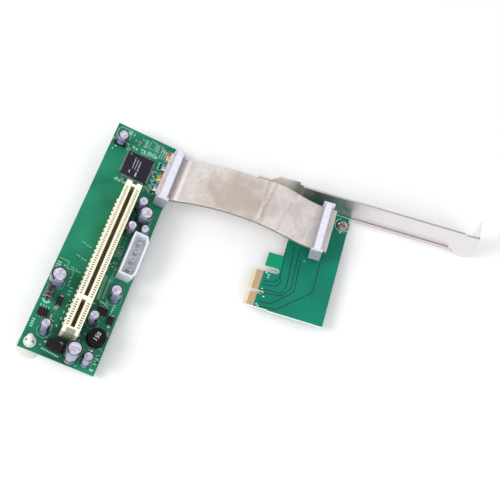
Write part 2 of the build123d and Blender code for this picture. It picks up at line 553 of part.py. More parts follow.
# free span: far edge (x, z) and near edge (x, z) in the table frame
far = [(-49.9, 18.4), (-46.0, 19.1), (-41.0, 20.4), (-35.0, 21.6), (-28.5, 22.5), (-21.3, 23.0), (-13.2, 22.5),
       (-6.0, 22.4), (0.5, 22.5), (6.0, 21.1), (12.5, 18.1), (18.6, 15.4)]
near = [(-50.1, 18.0), (-46.2, 19.3), (-41.0, 21.0), (-35.0, 22.2), (-27.5, 23.3), (-20.3, 23.9), (-14.0, 23.7),
        (-6.0, 22.9), (1.5, 21.0), (6.5, 19.4), (12.6, 17.4), (18.6, 15.3)]
route = [pair(board_loc, stub_m, MAIN_CON_Y), pair(board_loc, wrap_m, MAIN_CON_Y),
         pair(board_loc, MAIN_CON_X - CON_W / 2, MAIN_CON_Y), pair(board_loc, m_out, MAIN_CON_Y)]
far_y0, near_y0 = route[-1][0].Y, route[-1][1].Y
far_y1, near_y1 = CARD_CON_Y + hr, CARD_CON_Y - hr
xa, xb = -51.5, c_in
for (fx, fz), (nx, nz) in zip(far, near):
    tf, tn = (fx - xa) / (xb - xa), (nx - xa) / (xb - xa)
    route.append((Vector(fx, far_y0 + (far_y1 - far_y0) * tf, fz),
                  Vector(nx, near_y0 + (near_y1 - near_y0) * tn, nz)))
route += [pair(card_loc, c_in, CARD_CON_Y), pair(card_loc, CARD_CON_X + CON_W / 2, CARD_CON_Y),
          pair(card_loc, stub_c, CARD_CON_Y), pair(card_loc, wrap_c, CARD_CON_Y)]


def section(i, w, t):
    """Rectangle of width w and thickness t square to the route at station i."""
    a, b = route[max(i - 1, 0)], route[min(i + 1, len(route) - 1)]
    if i in (0, 1, 2, 3):
        a, b = route[0], route[3]
    if i >= len(route) - 4:
        a, b = route[-4], route[-1]
    p = (route[i][0] + route[i][1]) * 0.5
    across = (route[i][0] - route[i][1]).normalized()
    along = ((b[0] + b[1]) * 0.5 - (a[0] + a[1]) * 0.5).normalized()
    up = along.cross(across).normalized()
    e0, e1 = across * (w / 2), across * (-w / 2)
    n = up * (t / 2)
    return Wire.make_polygon([p + e0 + n, p + e1 + n, p + e1 - n, p + e0 - n], close=True)


def band(idx, w, t):
    return Solid.make_loft([section(i, w, t) for i in idx], ruled=True)


n = len(route)
ribbon_cable = band(range(0, n - 1), RIBBON_W, RIBBON_T)
wrap_idx = list(range(1, n - 2)) + [n - 1]
outer = band(wrap_idx, WRAP_W, WRAP_T)
inner_w, inner_t = RIBBON_W + 0.04, RIBBON_T + 0.04
inner = band(range(0, n - 1), inner_w, inner_t)
shield_wrap = outer - inner
length = sum((((route[i + 1][0] + route[i + 1][1]) - (route[i][0] + route[i][1])) * 0.5).length
             for i in range(n - 2))
print("ribbon length %.1f, volume %.0f against %.0f" % (length, ribbon_cable.volume,
                                                         length * RIBBON_W * RIBBON_T))

# ------------------------------------------------------------------
# put the nodes in place and write them
# ------------------------------------------------------------------
settle = Pos(*SETTLE_POS) * Rot(*SETTLE_ROT)
nodes = {}
for k, v in M.items():
    nodes[k] = v.moved(settle * board_loc)
for k, v in C.items():
    nodes[k] = v.moved(settle * card_loc)
nodes["ribbon_cable"] = ribbon_cable.moved(settle)
nodes["shield_wrap"] = shield_wrap.moved(settle)

os.makedirs("parts", exist_ok=True)
for name, shape in nodes.items():
    export_step(shape, "parts/%s.step" % name)
print(len(nodes), "nodes")
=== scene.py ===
import math
import random
import bpy
from mathutils import Matrix, Vector, noise


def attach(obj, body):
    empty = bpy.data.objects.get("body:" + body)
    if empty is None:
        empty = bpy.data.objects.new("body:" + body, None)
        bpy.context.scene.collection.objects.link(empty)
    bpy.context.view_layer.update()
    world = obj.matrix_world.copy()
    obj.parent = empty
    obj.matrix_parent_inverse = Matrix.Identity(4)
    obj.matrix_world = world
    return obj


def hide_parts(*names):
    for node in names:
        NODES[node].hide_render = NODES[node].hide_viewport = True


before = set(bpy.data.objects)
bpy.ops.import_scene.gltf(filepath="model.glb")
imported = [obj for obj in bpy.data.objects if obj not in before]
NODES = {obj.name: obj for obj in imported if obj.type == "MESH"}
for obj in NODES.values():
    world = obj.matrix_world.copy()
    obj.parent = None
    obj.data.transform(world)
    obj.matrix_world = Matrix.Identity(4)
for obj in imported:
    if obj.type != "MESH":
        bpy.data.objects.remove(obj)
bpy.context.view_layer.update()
rnd = random.Random(7)


def rot(axis, deg):
    return Matrix.Rotation(math.radians(deg), 4, axis)


# ------------------------------------------------------------------
# frames, the same as the part's own: millimetres in, metres out
# ------------------------------------------------------------------
SETTLE = (Matrix.Translation((-4.428866, -9.493542, 2.113004))
          @ rot("X", -2.429684) @ rot("Y", -2.893364) @ rot("Z", -0.061370))
BOARD = SETTLE @ Matrix.Translation((-94.664, -58.912, 14.062)) @ rot("Z", -1.25) @ rot("X", 2.57) @ rot("Y", 16.17)
CARD = SETTLE @ Matrix.Translation((0, 0, 3.79))
MM = Matrix.Scale(0.001, 4)


def lin(r, g, b):
    def f(c):
        c /= 255.0
        return c / 12.92 if c <= 0.04045 else ((c + 0.055) / 1.055) ** 2.4
    return (f(r), f(g), f(b), 1.0)


# ------------------------------------------------------------------
# materials
# ------------------------------------------------------------------


class Mat:
    """A node material with a few shorthands."""

    def __init__(self, name, space=None):
        self.m = bpy.data.materials.new(name)
        self.m.use_nodes = True
        self.t = self.m.node_tree
        self.b = self.t.nodes["Principled BSDF"]
        tc = self.t.nodes.new("ShaderNodeTexCoord")
        self.co = tc.outputs["Object"]
        mp = self.t.nodes.new("ShaderNodeMapping")
        mp.vector_type = "TEXTURE"
        space = space or Matrix.Identity(4)
        mp.inputs["Location"].default_value = [c * 0.001 for c in space.to_translation()]
        mp.inputs["Rotation"].default_value = space.to_euler("XYZ")
        mp.inputs["Scale"].default_value = (0.001, 0.001, 0.001)
        self.link(self.co, mp.inputs["Vector"])
        self.mm = mp.outputs["Vector"]      # millimetres in the chosen frame

    def link(self, a, b):
        self.t.links.new(a, b)

    def set(self, **kw):
        names = {"base": "Base Color", "rough": "Roughness", "metal": "Metallic", "coat": "Coat Weight",
                 "coat_rough": "Coat Roughness", "ior": "IOR", "trans": "Transmission Weight",
                 "sss": "Subsurface Weight", "sss_scale": "Subsurface Scale", "sheen": "Sheen Weight",
                 "aniso": "Anisotropic", "spec": "Specular IOR Level"}
        for k, v in kw.items():
            self.b.inputs[names[k]].default_value = v
        return self

    def scaled(self, s, loc=(0, 0, 0), turn=(0, 0, 0)):
        n = self.t.nodes.new("ShaderNodeMapping")
        n.inputs["Scale"].default_value = s
        n.inputs["Location"].default_value = loc
        n.inputs["Rotation"].default_value = turn
        self.link(self.mm, n.inputs["Vector"])
        return n.outputs["Vector"]

    def noise(self, scale, detail=3.0, rough=0.55, vec=None, out="Fac", distort=0.0):
        n = self.t.nodes.new("ShaderNodeTexNoise")
        n.inputs["Scale"].default_value = scale
        n.inputs["Detail"].default_value = detail
        n.inputs["Roughness"].default_value = rough
        n.inputs["Distortion"].default_value = distort
        self.link(vec or self.mm, n.inputs["Vector"])
        return n.outputs[out]

    def voronoi(self, scale, vec=None, feature="F1", out="Distance"):
        n = self.t.nodes.new("ShaderNodeTexVoronoi")
        n.feature = feature
        n.inputs["Scale"].default_value = scale
        self.link(vec or self.mm, n.inputs["Vector"])
        return n.outputs[out]

    def wave(self, scale, vec=None, distort=0.0, axis="X", detail=2.0, dscale=1.0):
        n = self.t.nodes.new("ShaderNodeTexWave")
        n.wave_type = "BANDS"
        n.bands_direction = axis
        n.inputs["Scale"].default_value = scale
        n.inputs["Distortion"].default_value = distort
        n.inputs["Detail"].default_value = detail
        n.inputs["Detail Scale"].default_value = dscale
        self.link(vec or self.mm, n.inputs["Vector"])
        return n.outputs["Fac"]

    def ramp(self, fac, stops):
        n = self.t.nodes.new("ShaderNodeValToRGB")
        e = n.color_ramp.elements
        while len(e) < len(stops):
            e.new(0.5)
        for el, (p, c) in zip(e, stops):
            el.position = p
            el.color = c if len(c) == 4 else (*c, 1.0)
        self.link(fac, n.inputs["Fac"])
        return n.outputs["Color"]

    def grey(self, fac, lo, hi, a=0.0, b=1.0):
        n = self.t.nodes.new("ShaderNodeMapRange")
        n.inputs["From Min"].default_value = lo
        n.inputs["From Max"].default_value = hi
        n.inputs["To Min"].default_value = a
        n.inputs["To Max"].default_value = b
        self.link(fac, n.inputs["Value"])
        return n.outputs["Result"]

    def math(self, op, a, b=None, c=None):
        n = self.t.nodes.new("ShaderNodeMath")
        n.operation = op
        for i, v in enumerate((a, b, c)):
            if v is None:
                continue
            if isinstance(v, (int, float)):
                n.inputs[i].default_value = v
            else:
                self.link(v, n.inputs[i])
        return n.outputs[0]

    def mix(self, fac, a, b, mode="MIX"):
        n = self.t.nodes.new("ShaderNodeMix")
        n.data_type = "RGBA"
        n.blend_type = mode
        if isinstance(fac, (int, float)):
            n.inputs["Factor"].default_value = fac
        else:
            self.link(fac, n.inputs["Factor"])
        for key, v in (("A", a), ("B", b)):
            sock = [s for s in n.inputs if s.name == key and s.type == "RGBA"][0]
            if hasattr(v, "links") or hasattr(v, "is_linked"):
                self.link(v, sock)
            else:
                sock.default_value = v if len(v) == 4 else (*v, 1.0)
        return [s for s in n.outputs if s.type == "RGBA"][0]

    def axes(self):
        n = self.t.nodes.new("ShaderNodeSeparateXYZ")
        self.link(self.mm, n.inputs[0])
        return n.outputs["X"], n.outputs["Y"], n.outputs["Z"]

    def base(self, sock):
        self.link(sock, self.b.inputs["Base Color"])

    def rough(self, sock):
        self.link(sock, self.b.inputs["Roughness"])

    def bump(self, height, dist_mm, strength=1.0, bevel=None):
        n = self.t.nodes.new("ShaderNodeBump")
        n.inputs["Strength"].default_value = strength
        n.inputs["Distance"].default_value = dist_mm * 0.001
        self.link(height, n.inputs["Height"])
        if bevel:
            v = self.t.nodes.new("ShaderNodeBevel")
            v.samples = 4
            v.inputs["Radius"].default_value = bevel * 0.001
            self.link(v.outputs["Normal"], n.inputs["Normal"])
        self.link(n.outputs["Normal"], self.b.inputs["Normal"])


def plastic(name, col, rough=0.4, var=0.06, grain=2.5, bump=0.03, bevel=0.15, space=None, sss=0.0, coat=0.0,
            dark=None):
    m = Mat(name, space)
    n1 = m.noise(0.35, 4)
    lo = tuple(c * (1 - var) for c in col[:3]) + (1,)
    hi = tuple(min(1, c * (1 + var)) for c in col[:3]) + (1,)
    m.base(m.ramp(n1, [(0.3, dark or lo), (0.7, hi)]))
    n2 = m.noise(grain, 3)
    m.rough(m.grey(n2, 0.3, 0.7, rough - 0.07, rough + 0.09))
    m.bump(n2, bump, 0.6, bevel)
    if sss:
        m.set(sss=sss, sss_scale=0.0015)
    if coat:
        m.set(coat=coat, coat_rough=0.15)
    return m.m


def metal(name, col, rough=0.25, brush=None, bump=0.01, bevel=0.1, space=None, var=0.08, dark_reflection_spots=0.0):
    m = Mat(name, space)
    vec = m.scaled(brush) if brush else None
    n1 = m.noise(1.2, 5, 0.6, vec)
    lo = tuple(c * (1 - var) for c in col[:3]) + (1,)
    c = m.ramp(n1, [(0.25, lo), (0.75, col)])
    # dark patches mixed into the colour; on the screw they are painted reflections
    if dark_reflection_spots:
        s = m.ramp(m.noise(0.25, 5, 0.7), [(0.55, (0, 0, 0)), (0.75, (dark_reflection_spots, dark_reflection_spots, dark_reflection_spots))])
        c = m.mix(s, c, tuple(x * 0.55 for x in col[:3]))
    m.base(c)
    m.rough(m.grey(n1, 0.3, 0.7, rough * 0.75, rough * 1.35))
    m.bump(n1, bump, 0.5, bevel)
    m.set(metal=1.0)
    return m.m


def board_material(name, space, light, mid, dark, edge, slot_shade=False):
    """Solder mask over copper: broad tone changes, faint routed lines, pale fibre edge."""
    m = Mat(name, space)
    x, y, z = m.axes()
    broad = m.noise(0.045, 3, 0.5)
    c = m.ramp(broad, [(0.3, dark), (0.5, mid), (0.72, light)])
    # fine routing seen through the mask
    cells = m.voronoi(0.55, m.scaled((1.0, 1.0, 0.05)), "DISTANCE_TO_EDGE")
    line = m.grey(cells, 0.02, 0.07, 1.0, 0.0)
    runs = m.wave(1.6, m.scaled((1.0, 0.12, 0.05), turn=(0, 0, 0.12)), 2.0, "X")
    runs = m.grey(runs, 0.82, 0.97, 0.0, 1.0)
    where = m.grey(m.noise(0.09, 2), 0.45, 0.6, 0.0, 1.0)
    routed = m.math("MULTIPLY", m.math("MAXIMUM", m.math("MULTIPLY", line, 0.35), runs), where)
    c = m.mix(m.math("MULTIPLY", routed, 0.35), c, tuple(v * 0.62 for v in mid[:3]))
    if slot_shade:
        # painted shade on the board beside the slot, darker close to it and towards its lower end
        d = m.math("ABSOLUTE", m.math("SUBTRACT", x, 19.7))
        near = m.grey(d, 4.5, 10.5, 0.85, 0.0)
        low = m.grey(y, 20.0, 48.0, 1.0, 0.25)
        c = m.mix(m.math("MULTIPLY", near, low), c, tuple(v * 0.35 for v in mid[:3]))
    else:
        # the end beside the key slot has no copper under its mask
        bare = m.math("MULTIPLY", m.grey(x, 12.6, 13.4, 1.0, 0.0), m.grey(y, 23.4, 23.7, 0.0, 1.0))
        c = m.mix(m.math("MULTIPLY", bare, 0.75), c, lin(0, 152, 104))
        # between the fingers the fibre shows brown
        gap = m.math("MULTIPLY", m.grey(x, 4.95, 5.05, 1.0, 0.0), m.grey(y, 20.6, 20.7, 1.0, 0.0))
        c = m.mix(gap, c, lin(186, 158, 128))
    speck = m.noise(3.2, 3)
    c = m.mix(m.grey(speck, 0.62, 0.8, 0.0, 0.35), c, tuple(min(1, v * 1.6) for v in light[:3]))
    side = m.math("MULTIPLY", m.grey(z, -0.10, -0.06, 1.0, 0.0), m.grey(z, -1.56, -1.52, 0.0, 1.0))
    fibre = m.ramp(m.noise(6.0, 3, 0.6, m.scaled((1, 1, 0.2))), [(0.35, tuple(v * 0.8 for v in edge[:3])), (0.7, edge)])
    if not slot_shade:
        fibre = m.mix(m.grey(x, 1.9, 2.3, 1.0, 0.0), fibre, lin(228, 219, 178))
    c = m.mix(side, c, fibre)
    m.base(c)
    m.rough(m.grey(m.noise(1.1, 3), 0.3, 0.7, 0.34, 0.5))
    m.bump(m.math("ADD", routed, m.math("MULTIPLY", speck, 0.25)), 0.03, 0.8, 0.08)
    m.set(spec=0.3)
    return m.m


G_LIGHT, G_MID, G_DARK = lin(36, 142, 108), lin(26, 124, 92), lin(17, 96, 70)
M_BOARD = board_material("solder_mask_board", BOARD, G_LIGHT, G_MID, G_DARK, lin(170, 200, 170), True)
M_CARD = board_material("solder_mask_card", CARD, lin(2, 130, 106), lin(0, 120, 97), lin(0, 108, 88),
                        lin(236, 240, 232))


def slot_material():
    """Cream housing, browner down in the card groove and in the windows over the contacts; the groove also carries
    painted glints.
    """
    m = Mat("cream_nylon", BOARD)
    x, y, z = m.axes()
    c = m.ramp(m.noise(0.35, 4), [(0.3, lin(236, 232, 208)), (0.7, lin(246, 243, 222))])
    d = m.math("ABSOLUTE", m.math("SUBTRACT", x, 19.7))
    low = m.grey(z, 11.52, 11.46, 0.0, 1.0)
    inner = m.math("MULTIPLY", m.grey(d, 1.0, 1.1, 1.0, 0.0), low)
    inner = m.math("MULTIPLY", inner, m.grey(m.math("ABSOLUTE", m.math("SUBTRACT", y, 55.1)), 39.85, 39.9, 1.0, 0.0))
    # the card groove: brown tone with painted glints of the contacts in it
    glint = m.ramp(m.noise(1.4, 3, 0.6, m.scaled((1, 1.0, 0.4))), [(0.4, lin(168, 156, 112)), (0.6, lin(204, 190, 146)), (0.72, lin(248, 238, 204))])
    c = m.mix(inner, c, glint)
    dw = m.math("ABSOLUTE", m.math("SUBTRACT", d, 2.75))
    win = m.math("MULTIPLY", m.grey(dw, 0.66, 0.74, 1.0, 0.0), m.grey(z, 11.5, 11.2, 0.0, 1.0))
    span = m.math("MULTIPLY", m.grey(y, 14.9, 15.0, 0.0, 1.0), m.grey(y, 94.3, 94.4, 1.0, 0.0))
    win = m.math("MULTIPLY", win, span)
    c = m.mix(win, c, lin(240, 231, 204))
    # painted shade on the end face towards the lower edge: grey, strongest in the middle and towards the bottom
    end = m.math("MULTIPLY", m.grey(y, 11.85, 12.0, 1.0, 0.0), m.grey(d, 2.2, 3.6, 1.0, 0.15))
    end = m.math("MULTIPLY", end, m.grey(z, 3.0, 10.5, 1.0, 0.72))
    c = m.mix(m.math("MULTIPLY", end, 0.9), c, lin(84, 86, 74))
    cap = m.math("MULTIPLY", m.grey(d, 2.0, 2.7, 1.0, 0.0), m.grey(y, 14.2, 14.7, 1.0, 0.0))
    cap = m.math("MULTIPLY", cap, m.grey(z, 9.5, 11.0, 0.0, 1.0))
    c = m.mix(m.math("MULTIPLY", cap, 0.85), c, lin(122, 128, 110))
    m.base(c)
    n2 = m.noise(2.0, 3)
    m.rough(m.grey(n2, 0.3, 0.7, 0.38, 0.52))
    m.bump(n2, 0.03, 0.6, 0.12)
    m.set(spec=0.35)
    return m.m


M_SLOT = slot_material()


def connector_material(name, space, cx, cy):
    """Pale grey-violet housing; its end faces carry a mottled grey painted shade, darker at the foot, so they read
    greyer than its top.
    """
    m = Mat(name, space)
    x, y, z = m.axes()
    c = m.ramp(m.noise(0.4, 4), [(0.3, lin(208, 208, 222)), (0.7, lin(220, 220, 234))])
    yy = m.math("ABSOLUTE", m.math("SUBTRACT", y, cy))
    # painted shade: the end faces are painted mottled grey
    end = m.math("MULTIPLY", m.grey(yy, 14.68, 14.76, 0.0, 1.0), m.grey(z, 13.3, 12.9, 0.0, 1.0))
    mott = m.ramp(m.noise(0.75, 5, 0.65), [(0.3, lin(128, 134, 142)), (0.5, lin(152, 158, 164)), (0.72, lin(178, 182, 188))])
    c = m.mix(end, c, mott)
    # painted shade, darker still at the foot of the end faces
    foot_shade = m.math("MULTIPLY", m.grey(yy, 14.68, 14.76, 0.0, 1.0), m.grey(z, 3.4, 2.9, 0.0, 1.0))
    c = m.mix(foot_shade, c, lin(84, 92, 92))
    m.base(c)
    n2 = m.noise(2.2, 3)
    m.rough(m.grey(n2, 0.3, 0.7, 0.36, 0.5))
    m.bump(n2, 0.03, 0.6, 0.18)
    m.set(spec=0.4)
    return m.m


M_CONN = connector_material("pale_connector_board", BOARD, 35.5, 109.5)
M_CONN2 = connector_material("pale_connector_card", CARD, 27.9, 48.3)
M_BODY = plastic("grey_connector", lin(120, 124, 128), 0.45, 0.1, 1.6, 0.05, 0.2, BOARD)


def header_material():
    """Translucent nylon: white outside; the bottom of the cavity is painted paler still, painted light standing in for
    light through the nylon.
    """
    m = Mat("header_nylon", BOARD)
    x, y, z = m.axes()
    c = m.ramp(m.noise(0.3, 4), [(0.3, lin(211, 214, 224)), (0.7, lin(223, 226, 236))])
    inx = m.grey(m.math("ABSOLUTE", m.math("SUBTRACT", x, 33.85)), 3.3, 3.6, 1.0, 0.0)
    iny = m.grey(m.math("ABSOLUTE", m.math("SUBTRACT", y, 62.1)), 10.95, 11.2, 1.0, 0.0)
    # painted light: the bottom of the cavity is painted paler than the outside
    deep = m.math("MULTIPLY", m.math("MULTIPLY", inx, iny), m.grey(z, 9.2, 5.0, 0.0, 1.0))
    cavity_painted_light = m.ramp(m.noise(0.5, 4, 0.6), [(0.35, lin(230, 234, 236)), (0.65, lin(248, 251, 252))])
    c = m.mix(deep, c, cavity_painted_light)
    m.base(c)
    n2 = m.noise(1.4, 3)
    m.rough(m.grey(n2, 0.3, 0.7, 0.3, 0.42))
    m.bump(n2, 0.03, 0.6, 0.25)
    m.set(spec=0.4)
    return m.m


M_HEADER = header_material()
M_EPOXY = plastic("moulded_epoxy", lin(36, 33, 43), 0.5, 0.18, 5.0, 0.05, 0.12, BOARD)
M_EPOXY2 = plastic("moulded_epoxy_small", lin(30, 26, 31), 0.42, 0.2, 5.0, 0.05, 0.12, BOARD)
M_FERRITE = plastic("ferrite_drum", lin(14, 12, 15), 0.5, 0.25, 3.0, 0.06, 0.25, BOARD)
M_FERRITE.node_tree.nodes["Principled BSDF"].inputs["Specular IOR Level"].default_value = 0.2
for mt in (M_EPOXY, M_EPOXY2):
    mt.node_tree.nodes["Principled BSDF"].inputs["Specular IOR Level"].default_value = 0.25
M_NYLON = plastic("standoff_nylon", lin(222, 219, 212), 0.35, 0.04, 1.2, 0.02, 0.3, BOARD)
M_CERAMIC = plastic("fired_ceramic", lin(138, 130, 118), 0.5, 0.15, 4.0, 0.03, 0.08, BOARD)
M_TIN = metal("tinned_lead", lin(205, 205, 210), 0.3, None, 0.02, 0.05, BOARD)
M_SOLDER = metal("solder", lin(196, 198, 202), 0.22, None, 0.06, 0.1, BOARD)
M_GOLD = metal("gold_plate", lin(200, 170, 138), 0.45, (1, 6, 1), 0.01, 0.03, CARD)
M_GOLD.node_tree.nodes["Principled BSDF"].inputs["Metallic"].default_value = 0.35
M_CONTACT = metal("contact_spring", lin(216, 202, 168), 0.35, None, 0.01, 0.03, BOARD)
M_CONTACT.node_tree.nodes["Principled BSDF"].inputs["Metallic"].default_value = 0.25
M_COPPER = metal("enamelled_wire", lin(150, 74, 44), 0.35, (1, 1, 14), 0.08, None, BOARD)


def can_material():
    """Drawn aluminium can top, with smudged tone."""
    m = Mat("drawn_can", BOARD)
    n1 = m.noise(0.55, 5, 0.65)
    m.base(m.ramp(n1, [(0.3, lin(150, 148, 164)), (0.5, lin(186, 183, 199)), (0.68, lin(236, 233, 244))]))
    m.rough(m.grey(m.noise(1.5, 4), 0.3, 0.7, 0.3, 0.45))
    m.bump(n1, 0.06, 0.7, 0.1)
    m.set(metal=0.12)
    return m.m


M_CAN = can_material()
M_RUBBER = plastic("can_seal", lin(58, 26, 30), 0.55, 0.3, 2.0, 0.05, None, BOARD)
M_DARKTIN = metal("dark_terminal", lin(62, 58, 64), 0.4, None, 0.03, 0.1, BOARD, 0.2)
# the last argument paints dark patches into the screw's colour as painted reflections
M_SCREW = metal("screw_plate", lin(178, 166, 158), 0.14, None, 0.02, 0.12, CARD, 0.15, 0.5)
M_SILK = plastic("board_print", lin(132, 206, 178), 0.6, 0.14, 3.0, 0.01, None, BOARD)
M_SILKW = plastic("card_print", lin(190, 236, 222), 0.6, 0.10, 3.0, 0.01, None, CARD)
M_VALUE = plastic("value_print", lin(196, 192, 196), 0.6, 0.12, 3.0, 0.01, None, BOARD)
M_LAND = plastic("tinned_land", lin(214, 224, 216), 0.4, 0.12, 1.6, 0.03, None, BOARD)
M_PAD = plastic("bare_pad", lin(150, 196, 176), 0.35, 0.22, 2.4, 0.02, None, BOARD)
M_VIA = plastic("mask_over_via", lin(44, 138, 108), 0.35, 0.15, 2.4, 0.02, None, BOARD)
M_TRACE = plastic("card_trace", lin(0, 50, 38), 0.45, 0.12, 2.0, 0.01, None, CARD)
M_MARK = plastic("pale_marking", lin(182, 182, 196), 0.6, 0.2, 3.5, 0.005, None, BOARD)
M_FIBRE = plastic("cut_fibre", lin(212, 203, 164), 0.55, 0.08, 3.0, 0.03, None, CARD)


def sleeve_material(name, col, glint):
    m = Mat(name, BOARD)
    n1 = m.noise(0.8, 4)
    m.base(m.ramp(n1, [(0.3, tuple(v * 0.6 for v in col[:3])), (0.75, col)]))
    m.rough(m.grey(m.noise(1.7, 3), 0.3, 0.7, 0.14, 0.28))
    m.bump(m.noise(0.9, 2, 0.5), 0.12, 0.5)
    m.set(coat=glint, coat_rough=0.08)
    return m.m


M_SLEEVE = sleeve_material("shrink_sleeve", lin(30, 30, 48), 0.8)
M_STRIPE = sleeve_material("sleeve_stripe", lin(134, 138, 168), 0.6)


def steel_material():
    m = Mat("plated_steel", CARD)
    x, y, z = m.axes()
    fine = m.noise(1.0, 4, 0.6, m.scaled((0.08, 3.0, 3.0)))
    cloud = m.noise(0.05, 3, 0.5)
    c = m.ramp(fine, [(0.2, lin(221, 217, 217)), (0.8, lin(231, 228, 229))])
    c = m.mix(m.grey(cloud, 0.35, 0.65, 0.0, 0.5), c, lin(221, 214, 214))
    # shaded line in the fold above the lower lip, and along the upper lip
    on = m.math("MULTIPLY", m.grey(x, 11.0, 13.0, 0.0, 1.0), m.grey(y, 67.3, 67.5, 1.0, 0.0))
    fold = m.grey(m.math("ABSOLUTE", m.math("SUBTRACT", z, -1.25)), 0.35, 0.7, 1.0, 0.0)
    fold = m.math("MULTIPLY", fold, m.grey(x, 95.5, 96.2, 1.0, 0.0))
    c = m.mix(m.math("MULTIPLY", m.math("MULTIPLY", fold, on), 0.75), c, lin(118, 110, 112))
    low = m.math("MULTIPLY", on, m.grey(z, -1.5, -1.65, 0.0, 1.0))
    low = m.math("MULTIPLY", low, m.grey(x, 95.5, 96.2, 1.0, 0.0))
    c = m.mix(low, c, lin(236, 228, 227))
    beige = m.grey(x, 5.5, 6.5, 1.0, 0.0)
    c = m.mix(m.math("MULTIPLY", beige, 0.8), c, lin(224, 217, 198))
    olive = m.math("MULTIPLY", m.grey(x, 3.5, 9.5, 0.0, 0.8), m.grey(x, 12.0, 12.4, 1.0, 0.0))
    c = m.mix(olive, c, lin(104, 102, 80))
    # painted highlight along the upper lip near its left end
    lip_highlight = m.math("MULTIPLY", m.grey(z, 15.9, 16.3, 0.0, 1.0), m.grey(x, 11.6, 12.2, 0.0, 1.0))
    lip_highlight = m.math("MULTIPLY", lip_highlight, m.grey(x, 34.0, 62.0, 1.0, 0.0))
    c = m.mix(lip_highlight, c, lin(246, 246, 246))
    # the rest of the upper lip is turned to the dark side of the room
    rest = m.math("MULTIPLY", m.grey(z, 15.9, 16.3, 0.0, 0.5), m.grey(x, 34.0, 62.0, 0.0, 1.0))
    c = m.mix(m.math("MULTIPLY", rest, m.grey(x, 99.0, 100.0, 1.0, 0.0)), c, lin(112, 106, 108))
    # painted light: the tab's shaded face is painted near-white
    tab_painted_light = m.math("MULTIPLY", m.grey(x, 105.6, 105.9, 0.0, 1.0), m.grey(y, 68.3, 68.5, 0.0, 0.75))
    c = m.mix(tab_painted_light, c, lin(244, 241, 241))
    m.base(c)
    m.rough(m.math("ADD", m.grey(fine, 0.3, 0.7, 0.27, 0.33), m.grey(cloud, 0.3, 0.7, 0.0, 0.05)))
    m.bump(fine, 0.01, 0.3, 0.15)
    lobe = m.grey(x, 11.6, 12.6, 1.0, 0.0)
    pale = m.math("MAXIMUM", low, m.math("MULTIPLY", lobe, 0.6))
    pale = m.math("MAXIMUM", pale, m.math("MAXIMUM", tab_painted_light, lip_highlight))
    m.link(m.grey(pale, 0.0, 1.0, 1.0, 0.1), m.b.inputs["Metallic"])
    return m.m


M_STEEL = steel_material()


